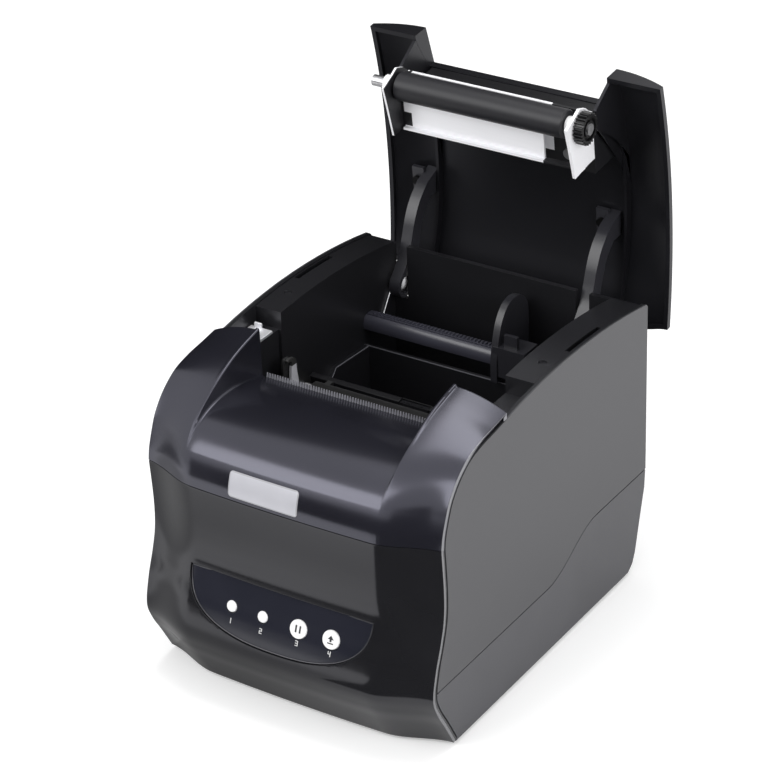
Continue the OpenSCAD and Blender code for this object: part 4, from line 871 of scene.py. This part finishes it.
panel_finish, shader, place = new_finish("panel_acrylic")
haze = place.noise(30)
feed(shader, {"Base Color": haze.blend((0.012, 0.013, 0.020, 1), (0.020, 0.021, 0.032, 1)),
              "Roughness": haze * 0.06 + 0.16, "Normal": place.noise(1800).bumps(4),
              "Specular IOR Level": 0.5})
label_white = moulded("label_white", 0.6, 0.4, grain=0.03, pit=4, scale=700, level=0.4, blue=1.0)
panel_rim = moulded("panel_rim", 0.05, 0.2, grain=0.02, pit=3, scale=500, level=0.6, flow=0.02, blue=1.15)
key_holes = [key_hole(KEY_XS[key], KEY_HOLES[key]) for key in KEY_XS]
face = sheet_of("panel_face", half_moon(-0.1), key_holes, lambda x, z: low_front(x, z, PANEL_SINK), 1.5,
                panel_finish)
bead_line = [low_front(x, z, PANEL_SINK - 0.15) for x, z in half_moon(-0.45)]
parts = [soften(face, 0.25, 2.0), bead("rim", bead_line, 0.32, panel_rim)]
for number, key in enumerate(KEY_XS, 1):
    parts += [put(part, at_key(KEY_XS[key])) for part in figure(number, -6.6, 2.1, label_white)]
panel = join("key_panel", parts)
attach(panel, "case")
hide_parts("control_panel")


# Lamps: two small domed lenses of clear white plastic with a flange behind the panel, over the
# lamps of the key board. Moulded, and held between the board and the panel.
def turned(name, profile, finish, n=48):
    """A turned shape about +Z from rows of radius and height, closed where the radius is 0."""
    verts, faces, rings = [], [], []
    for r, z in profile:
        count = n if r else 1
        rings.append(range(len(verts), len(verts) + count))
        verts += [(r * cos(2 * pi * k / n), r * sin(2 * pi * k / n), z) for k in range(count)]
    for a, b in zip(rings, rings[1:]):
        for k, k1 in ((k, (k + 1) % n) for k in range(n)):
            if len(a) == 1:
                faces.append((a[0], b[k], b[k1]))
            elif len(b) == 1:
                faces.append((a[k], b[0], a[k1]))
            else:
                faces.append((a[k], b[k], b[k1], a[k1]))
    return piece(name, verts, faces, finish)


def shaded(thing, limit=35):
    """Smooths the faces and keeps the sharp edges."""
    thing.data.shade_smooth()
    thing.data.set_sharp_from_angle(angle=radians(limit))
    return thing


lens_finish, shader, place = new_finish("lamp_lens")
cloud = place.noise(160)
feed(shader, {"Base Color": cloud.blend(grey(0.84, 1.02), grey(0.93, 1.0)), "Roughness": cloud * 0.1 + 0.1,
              "Specular IOR Level": 0.5})
LENS_FORM = [(0, 0.62), (0.8, 0.6), (1.5, 0.52), (2.1, 0.36), (2.5, 0.14), (2.72, -0.2), (2.8, -0.6),
             (2.8, -3.2), (3.55, -3.3), (3.55, -4.1), (0, -4.1)]
parts = [put(turned("lens", LENS_FORM, lens_finish), at_key(KEY_XS[key])) for key in ("power", "error")]
lens_pair = join("lamp_lens_pair", [shaded(part) for part in parts])
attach(lens_pair, "case")
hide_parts("lamp_lenses")


# Keys: two round white caps with a shallow dish and a printed symbol, two bars for pause and an
# arrow over a bar for feed. Each rests on a switch of the key board and sinks when it is pressed.
key_white = moulded("white_key_plastic", 0.86, 0.3, grain=0.02, pit=6, blue=1.0)
symbol_ink = moulded("symbol_ink", 0.035, 0.4, grain=0.05, level=0.3)
CAP_FORM = [(0, 0.5), (2.2, 0.52), (3.4, 0.6), (3.9, 0.66), (4.2, 0.58), (4.36, 0.36), (4.4, 0.0),
            (4.4, -3.8), (5.25, -3.9), (5.25, -4.9), (0, -4.9)]
PAUSE_BARS = [box_hole(x - 0.42, x + 0.42, -1.7, 1.7) for x in (-1.05, 1.05)]
FEED_ARROW = [[(0, 1.9), (-1.5, 0.1), (-0.5, 0.1), (-0.5, -1.0), (0.5, -1.0), (0.5, 0.1), (1.5, 0.1)],
              box_hole(-1.5, 1.5, -2.0, -1.45)]
for key, symbol in (("pause", PAUSE_BARS), ("feed", FEED_ARROW)):
    parts = [shaded(turned("cap", CAP_FORM, key_white, 64))]
    parts += [flat_shape("symbol", outline, 0.4, 0.56, symbol_ink) for outline in symbol]
    key_cap = put(join(key + "_key_cap", parts), at_key(KEY_XS[key]))
    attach(key_cap, key + "_key")
    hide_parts(key + "_button")


# Boards: green glass laminate with tracks under the lacquer, the key board behind the panel and the
# main board under the bay, each with its black switches, chips and sockets soldered on.
def dress(node, finish):
    """Gives a plain part its finish."""
    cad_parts[node].data.materials.clear()
    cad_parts[node].data.materials.append(finish)


board_green, shader, place = new_finish("green_laminate")
weave = place.noise(700)
tracks = place.node("ShaderNodeTexVoronoi", {"feature": "DISTANCE_TO_EDGE"},
                    {"Vector": place, "Scale": 160.0}) < 0.05
lacquer = weave.blend((0.02, 0.13, 0.05, 1), (0.014, 0.091, 0.035, 1))
feed(shader, {"Base Color": tracks.blend(lacquer, (0.04, 0.208, 0.075, 1)), "Roughness": weave * 0.2 + 0.3,
              "Specular IOR Level": 0.5})
chip_black = moulded("chip_black", 0.02, 0.5, grain=0.1, scale=1500, level=0.4)
for node in ("panel_board", "main_board"):
    dress(node, board_green)
for node in ("panel_switches", "board_parts"):
    dress(node, chip_black)


# Tear bar: a black moulded blade with a row of fine teeth along its top edge, which tears the paper.
# It is fixed behind the edge of the front cover's valley.
class Grow:
    """One geometry tree with named inputs; what it makes is turned into a plain mesh."""

    def __init__(self, name, numbers):
        self.tree = bpy.data.node_groups.new(name, "GeometryNodeTree")
        self.sockets = {}
        kinds = {tuple: "NodeSocketVector", int: "NodeSocketInt", float: "NodeSocketFloat"}
        for key, value in numbers.items():
            socket = self.tree.interface.new_socket(key, in_out="INPUT", socket_type=kinds[type(value)])
            self.sockets[key] = (socket, value)
        self.tree.interface.new_socket("Geometry", in_out="OUTPUT", socket_type="NodeSocketGeometry")
        self.given = self.tree.nodes.new("NodeGroupInput")

    def __call__(self, kind, settings, sockets):
        made = self.tree.nodes.new(kind)
        for name, value in settings.items():
            setattr(made, name, value)
        for name, value in sockets.items():
            if isinstance(value, str):
                self.tree.links.new(self.given.outputs[value], made.inputs[name])
            elif isinstance(value, bpy.types.NodeSocket):
                self.tree.links.new(value, made.inputs[name])
            else:
                made.inputs[name].default_value = value
        return made.outputs[0]

    def finish(self, name, last, material):
        real = self("GeometryNodeRealizeInstances", {}, {0: last})
        done = self("GeometryNodeSetMaterial", {}, {"Geometry": real, "Material": material})
        self.tree.links.new(done, self.tree.nodes.new("NodeGroupOutput").inputs[0])
        host = bpy.data.objects.new(name, bpy.data.meshes.new(name))
        scene.collection.objects.link(host)
        grown = host.modifiers.new("grow", "NODES")
        grown.node_group = self.tree
        for socket, value in self.sockets.values():
            grown[socket.identifier] = value
        return settle(host)


blade_finish = moulded("tear_bar_black", 0.02, 0.35, level=0.4)
tooth_finish = moulded("tear_tooth_grey", 0.27, 0.35)
grow = Grow("tear_teeth", {"Teeth": 70, "Start": (-0.0493, -0.03025, 0.12785), "Pitch": (0.0014, 0.0, 0.0),
                           "Root": 0.00062, "Tip": 0.00028, "Height": 0.0025})
tooth = grow("GeometryNodeMeshCone", {"fill_type": "NGON"},
             {"Vertices": 4, "Side Segments": 1, "Radius Bottom": "Root", "Radius Top": "Tip",
              "Depth": "Height"})
spots = grow("GeometryNodeMeshLine", {"mode": "OFFSET"},
             {"Count": "Teeth", "Start Location": "Start", "Offset": "Pitch"})
eighth_turn = grow("FunctionNodeInputVector", {"vector": (0.0, 0.0, pi / 4)}, {})
teeth = grow("GeometryNodeInstanceOnPoints", {},
             {"Points": spots, "Instance": tooth, "Rotation": eighth_turn, "Scale": (1.0, 0.55, 1.0)})
tear_teeth = grow.finish("tear_teeth", teeth, tooth_finish)
blade = plate("blade", box_hole(-30.9, -29.6, 122.2, 127.9), -50, 48, blade_finish)
tear = join("toothed_tear_bar", [tear_teeth, soften(blade, 0.15)])
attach(tear, "case")
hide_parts("tear_bar")


# Feet: four moulded rubber discs with a sunk middle, glued into the floor of the case.
# The rubber is black, matt and faintly grained.
foot_finish, shader, place = new_finish("foot_rubber")
fine = place.noise(600, 4.0)
feed(shader, {"Base Color": fine.blend(grey(0.016), grey(0.024)), "Roughness": fine * 0.2 + 0.6,
              "Normal": fine.bumps(40), "Specular IOR Level": 0.3})
FOOT_FORM = [(0, FOOT_Z), (6.9, FOOT_Z), (7.0, 1.9), (7.0, 0.5), (6.6, 0.1), (6.1, 0.0), (4.6, 0.0),
             (4.4, 0.35), (0, 0.35)]
FOOT_X, FOOT_Y = 58, 66
parts = [put(turned("foot", FOOT_FORM, foot_finish), Matrix.Translation((x, y, 0)))
         for x in (-FOOT_X, FOOT_X) for y in (-FOOT_Y, FOOT_Y)]
feet = join("rubber_foot_set", [shaded(part) for part in parts])
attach(feet, "case")
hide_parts("rubber_feet")


# Screws: zinc-plated pan heads that hold the case, the boards, the chassis and the platen's bracket,
# and blackened ones that hold the hinge arms to the lid.
def metal(name, tone, rough, stretch=(40.0, 900.0, 900.0)):
    """Sheet or turned metal with a fine drawn grain."""
    finish, shader, place = new_finish(name)
    grain = place.stretch(stretch).noise(1, 3.0)
    cloud = place.noise(60)
    feed(shader, {"Base Color": cloud.blend(grey(tone * 0.9, 1.03), grey(tone * 1.05, 1.03)),
                  "Roughness": grain * 0.12 + cloud * 0.06 + rough, "Normal": grain.bumps(4),
                  "Metallic": 1.0})
    return finish


EVEN_GRAIN = (900.0, 900.0, 900.0)
screw_finish = metal("screw_steel", 0.5, 0.3, EVEN_GRAIN)
for node in ("case_screws", "board_screws", "frame_screws", "chassis_screws"):
    dress(node, screw_finish)
dress("arm_screws", metal("black_screw", 0.02, 0.45, EVEN_GRAIN))


# Sockets and switch at the back: a pressed zinc shield and plate, a black power inlet, and a rocker
# in its frame, both black mouldings. The plate closes the recess of the case round all of them.
zinc = metal("zinc_sheet", 0.86, 0.42)
INNER_GRAIN = {"grain": 0.05, "pit": 20, "scale": 1300, "flow": 0.06}
inner_black = moulded("inner_black", 0.011, 0.34, level=0.4, blue=1.15, **INNER_GRAIN)
eased("socket_shield", "usb_socket", "case", zinc, 0.2)
eased("inlet_body", "power_inlet", "case", chip_black, 0.25)
eased("socket_plate", "port_plate", "case", zinc, 0.2)
eased("rocker_frame", "switch_bezel", "case", inner_black, 0.4)
eased("rocker_cap", "power_rocker", "rocker", inner_black, 0.3)


# Chassis and latch: a folded chassis of dark passivated zinc sheet, screwed to the case, with the
# catch plate beside it and the pair of sprung hooks that hold the lid shut. The hooks' tips are dark.
TIP_Z = 0.1225
dark_zinc = metal("dark_passivated_zinc", 0.07, 0.4)
hook_finish, shader, place = new_finish("hook_zinc")
grain = place.noise(500, 3.0)
tip = place.part(2) > TIP_Z
feed(shader, {"Base Color": tip.blend(grain.blend(grey(0.55, 1.08), grey(0.66, 1.08)),
                                      grain.blend(grey(0.02), grey(0.035))),
              "Roughness": grain * 0.1 + 0.36, "Metallic": (1.0 - tip) * 0.3})
eased("mechanism_chassis", "chassis", "case", dark_zinc, 0.2)
eased("catch_plate_left", "catch_plate", "case", zinc, 0.25)
eased("latch_hook_pair", "latch_hooks", "latch", hook_finish, 0.2)


# Print head: a ceramic strip, pale in front and glazed black behind, on a cast block that takes its
# heat away. The block swings on a steel rod, and two wire coils press it against the platen.
GLAZE_Y = -0.0093
alloy = metal("cast_alloy", 0.06, 0.45, (500.0, 500.0, 500.0))
steel = metal("bright_steel", 0.62, 0.22, (900.0, 60.0, 60.0))
ceramic, shader, place = new_finish("head_ceramic")
cloud = place.noise(120)
behind = place.part(1) > GLAZE_Y
feed(shader, {"Base Color": behind.blend(cloud.blend(grey(0.5, 0.9), grey(0.6, 0.9)),
                                         cloud.blend(grey(0.01), grey(0.016))),
              "Roughness": cloud * 0.1 + 0.3, "Specular IOR Level": 0.4})
eased("head_sink_block", "head_sink", "head", alloy, 0.25)
dress("print_head", ceramic)
dress("head_rod", steel)


def coil(name, centre, radius, gauge, length, turns, finish):
    """A standing wire coil, swept by Geometry Nodes; sizes are in millimetres."""
    grow = Grow(name, {"Turns": turns, "Radius": radius * MM, "Length": length * MM, "Gauge": gauge * MM})
    path = grow("GeometryNodeCurveSpiral", {},
                {"Resolution": 20, "Rotations": "Turns", "Start Radius": "Radius", "End Radius": "Radius",
                 "Height": "Length"})
    ring = grow("GeometryNodeCurvePrimitiveCircle", {"mode": "RADIUS"}, {"Resolution": 8, "Radius": "Gauge"})
    body = grow("GeometryNodeCurveToMesh", {}, {"Curve": path, "Profile Curve": ring, "Fill Caps": True})
    return put(grow.finish(name, body, finish), Matrix.Translation(centre))


COIL_Y, COIL_Z = -18.7, 99.3
coils = [coil("head_coil", (x, COIL_Y, COIL_Z), 2.75, 0.32, 8.6, 7.0, steel) for x in (-29.5, 8.5)]
springs = shaded(join("head_spring_coils", coils), 60)
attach(springs, "case")
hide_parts("head_springs")
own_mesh(springs)


# Drive: a stepper motor in a zinc can, a brass pinion pressed on its shaft, and two moulded gears
# of pale acetal that turn on steel studs in the chassis.
brass, shader, place = new_finish("gear_brass")
cloud = place.noise(200)
feed(shader, {"Base Color": cloud.blend((0.62, 0.42, 0.14, 1), (0.75, 0.53, 0.2, 1)),
              "Roughness": cloud * 0.1 + 0.25, "Metallic": 1.0})
gear_pale = moulded("gear_acetal", 0.72, 0.35, level=0.4, flow=0.04, blue=0.95)
dress("stepper_motor", zinc)
dress("motor_pinion", brass)
dress("gear_studs", steel)
for node in ("reduction_gear", "drive_gear"):
    dress(node, gear_pale)


# Paper path: the black ramp that leads the paper from the bay up to the head, with its sensor, and
# the ridged rail across the bay with the guide that slides on it. All are moulded ABS.
RAIL_GRAIN = {"grain": 0.05, "scale": 1100, "flow": 0.08}
ramp_black = moulded("ramp_black", 0.007, 0.4, level=0.2, blue=1.2, **INNER_GRAIN)
rail_black = moulded("rail_black", 0.045, 0.3, level=0.6, blue=1.35, **RAIL_GRAIN)
guide_black = moulded("guide_black", 0.024, 0.32, blue=1.2, **RAIL_GRAIN)
eased("ramp_moulding", "paper_ramp", "case", ramp_black, 0.5)
dress("paper_sensor", moulded("sensor_window", 0.012, 0.15, grain=0.02, pit=4, scale=700))
eased("scale_rail", "guide_rail", "case", rail_black, 0.15)
eased("sliding_guide", "paper_guide", "guide", guide_black, 0.6, 3)


# Lid: a crowned shell with walls like a tray, open towards the bay when it is up. Satin black ABS,
# one moulding, drawn shut here and then turned up about the hinge.
HINGE_Y, HINGE_Z = 93.3, 118
LID_UP = -84
MOUTH_Y = -10.3
LID_WALL = 2.5
LID_GAP = 0.15
BRIM = 2.998
REAR_BOW = 2.997
RIB_LOW = 129.0
RIB_RUN = 16
PEAK_Y = 35


def lifted(p):
    """A point of the shut lid, turned up about the hinge."""
    a = radians(LID_UP)
    y, z = p[1] - HINGE_Y, p[2] - HINGE_Z
    return (p[0], HINGE_Y + y * cos(a) - z * sin(a), HINGE_Z + y * sin(a) + z * cos(a))


def swell(y):
    """How strongly the lid is crowned at y: most at its peak and little at the rear."""
    if y < PEAK_Y:
        return 1.45 - 0.45 * ((PEAK_Y - y) / (PEAK_Y - LID_Y)) ** 2
    return 1.45 - 1.25 * ((y - PEAK_Y) / (REAR - PEAK_Y)) ** 2.5


def lid_top(x, y):
    """The height of the shut lid's outside."""
    y = min(y, REAR)
    return rim(y) + BRIM + crown(x) * swell(y)


def lid_ring(x, kind, n=60):
    """The lid's section at x: an outer wall, the hollow, a rib, or the mouth over the paper's way out."""
    front = MOUTH_Y if kind == "mouth" else LID_Y + 0.3
    rear = REAR + 0.5 + REAR_BOW * smooth((HALF_WIDE - abs(x)) / 14)
    inner, end = front + LID_WALL, rear - LID_WALL

    def under(y):
        if kind == "wall":
            return rim(min(y, REAR)) + LID_GAP + (0.02 if y - front > 4 else 0.04)
        if kind == "rib":
            web = max(RIB_LOW, rim(LID_Y) - (y - front - LID_WALL) * 1.9)
            return mix(web, lid_top(x, y) - 6, smooth((y - MOUTH_Y + 2) / RIB_RUN))
        return lid_top(x, y) - LID_WALL

    lip = lid_top(x, front) - 4.2 if kind == "mouth" else rim(LID_Y) + LID_GAP
    inner_lip = lip if kind in ("mouth", "rib") else rim(inner) + LID_GAP
    above = [mix(front, rear, k / n) for k in range(n + 1)]
    below = [mix(inner, end, k / n) for k in range(n + 1)]
    if kind == "rib":
        middle, half = MOUTH_Y + RIB_RUN, n // 2
        below = [mix(inner, middle, k / half) for k in range(half)]
        below += [mix(middle, end, k / half) for k in range(half + 1)]
    line = [(front, lip)] + [(y, lid_top(x, y)) for y in above]
    line += [(rear, rim(REAR) + LID_GAP), (end, rim(min(end, REAR)) + LID_GAP)]
    line += [(y, under(y)) for y in below[::-1]]
    line.append((inner, inner_lip + 0.01 if kind == "wall" else inner_lip))
    return [(x, y, z) for y, z in line[::-1]]


def lid_side(edge, way):
    """The sections of one side of the lid, from the mouth outwards: a rib, the hollow and the outer wall."""
    sections = [lid_ring(edge + way * off, "rib") for off in (0.3, 1.8)]
    sections += [lid_ring(mix(edge + way * 2.1, way * 74.0, k / 16), "hollow") for k in range(17)]
    sections.append(lid_ring(way * INSIDE, "hollow"))
    return sections + [lid_ring(way * x, "wall") for x in (INSIDE + 0.3, HALF_WIDE)]


mouth = [lid_ring(mix(EAR_L, EAR_R, k / 24), "mouth") for k in range(25)]
rings = lid_side(EAR_L, -1)[::-1] + mouth + lid_side(EAR_R, 1)
n = len(rings[0])
faces = [list(range(n))[::-1], [(len(rings) - 1) * n + k for k in range(n)]]
faces += [(i * n + k, i * n + (k + 1) % n, (i + 1) * n + (k + 1) % n, (i + 1) * n + k)
          for i in range(len(rings) - 1) for k in range(n)]
lid_finish, shader, place = new_finish("lid_plastic")
fine = place.noise(1400, 3.0, 0.6)
slow = place.noise(16)
feed(shader, {"Base Color": slow.blend(grey(0.006, 1.2), grey(0.009, 1.2)),
              "Roughness": slow * 0.06 + fine * 0.05 + 0.3, "Normal": fine.bumps(15),
              "Specular IOR Level": 0.36, "Specular Tint": (0.9, 0.9, 1.0, 1.0)})
lid = piece("crowned_lid", [lifted(p) for ring in rings for p in ring], faces, lid_finish)
with mending(lid.data) as work:
    bmesh.ops.remove_doubles(work, verts=work.verts, dist=1e-6)
    bmesh.ops.recalc_face_normals(work, faces=work.faces)
soften(lid, 0.12, None, 2, 40)
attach(lid, "lid")
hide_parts("lid_shell")


# Lid frame and hinge: the moulded box frame that carries the platen, and two curved arms screwed to
# the lid that swing on steel pins in the housing. A spring of steel wire holds the lid up.
arm_black = moulded("arm_black", 0.028, 0.3, blue=1.2, **RAIL_GRAIN)
eased("lid_box_frame", "lid_frame", "lid", inner_black, 0.4)
eased("hinge_arm_l", "hinge_arm_left", "lid", arm_black, 0.6, 3)
eased("hinge_arm_r", "hinge_arm_right", "lid", arm_black, 0.6, 3)
dress("hinge_pins", steel)
dress("hinge_spring", steel)


# Platen: a ground black rubber roll on a steel shaft with a black gear. It turns in two white
# bushings in a folded zinc bracket, with shade painted near black into its left notch, on its left face and
# on its right foot.
LEFT_FACE = -0.04895
cradle, shader, place = new_finish("cradle_zinc")
grain = place.stretch((40.0, 900.0, 900.0)).noise(1, 3.0)
across, height = place.part(0), place.part(2)
# painted shade: the zinc turns near black in the left notch, on the left face and on the right foot below
# the roll's top
notch = across.between(LEFT_FACE, -0.0435).both((height > 0.2135).either(height < 0.2065) < 0.5)
left_face = across.between(LEFT_FACE, -0.0475)
right_foot = across.between(0.0278, 0.0465).both(height < 0.231)
painted_cradle_shade = notch.either(left_face).either(right_foot)
feed(shader, {"Base Color": painted_cradle_shade.blend(grain.blend(grey(0.93, 1.03), grey(0.97, 1.03)),
                                       grain.blend(grey(0.008, 1.2), grey(0.012, 1.2))),
              "Roughness": grain * 0.12 + 0.4, "Metallic": (1.0 - painted_cradle_shade) * 0.12})
eased("platen_cradle", "platen_bracket", "lid", cradle, 0.2)
eased("bushing_pair", "platen_bushings", "lid", key_white, 0.2)
roller_finish, shader, place = new_finish("ground_roller_rubber")
grind = place.stretch((2600.0, 300.0, 300.0)).noise(1, 3.0)
feed(shader, {"Base Color": grind.blend(grey(0.011, 1.2), grey(0.02, 1.2)), "Roughness": grind * 0.15 + 0.36,
              "Normal": grind.bumps(10), "Specular IOR Level": 0.4})
ROLL_FORM = [(0, 44.5), (6.3, 44.5), (6.8, 44.0), (6.8, -44.0), (6.3, -44.5), (0, -44.5)]
roll = turned("platen_roll", ROLL_FORM, roller_finish, 96)
put(roll, Matrix.Translation(lifted((-3.0, -16.7, 120))) @ Matrix.Rotation(radians(90), 4, "Y"))
shaded(roll)
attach(roll, "platen")
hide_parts("platen_rubber")
dress("platen_shaft", steel)
dress("platen_gear", moulded("gear_black", 0.007, 0.35))
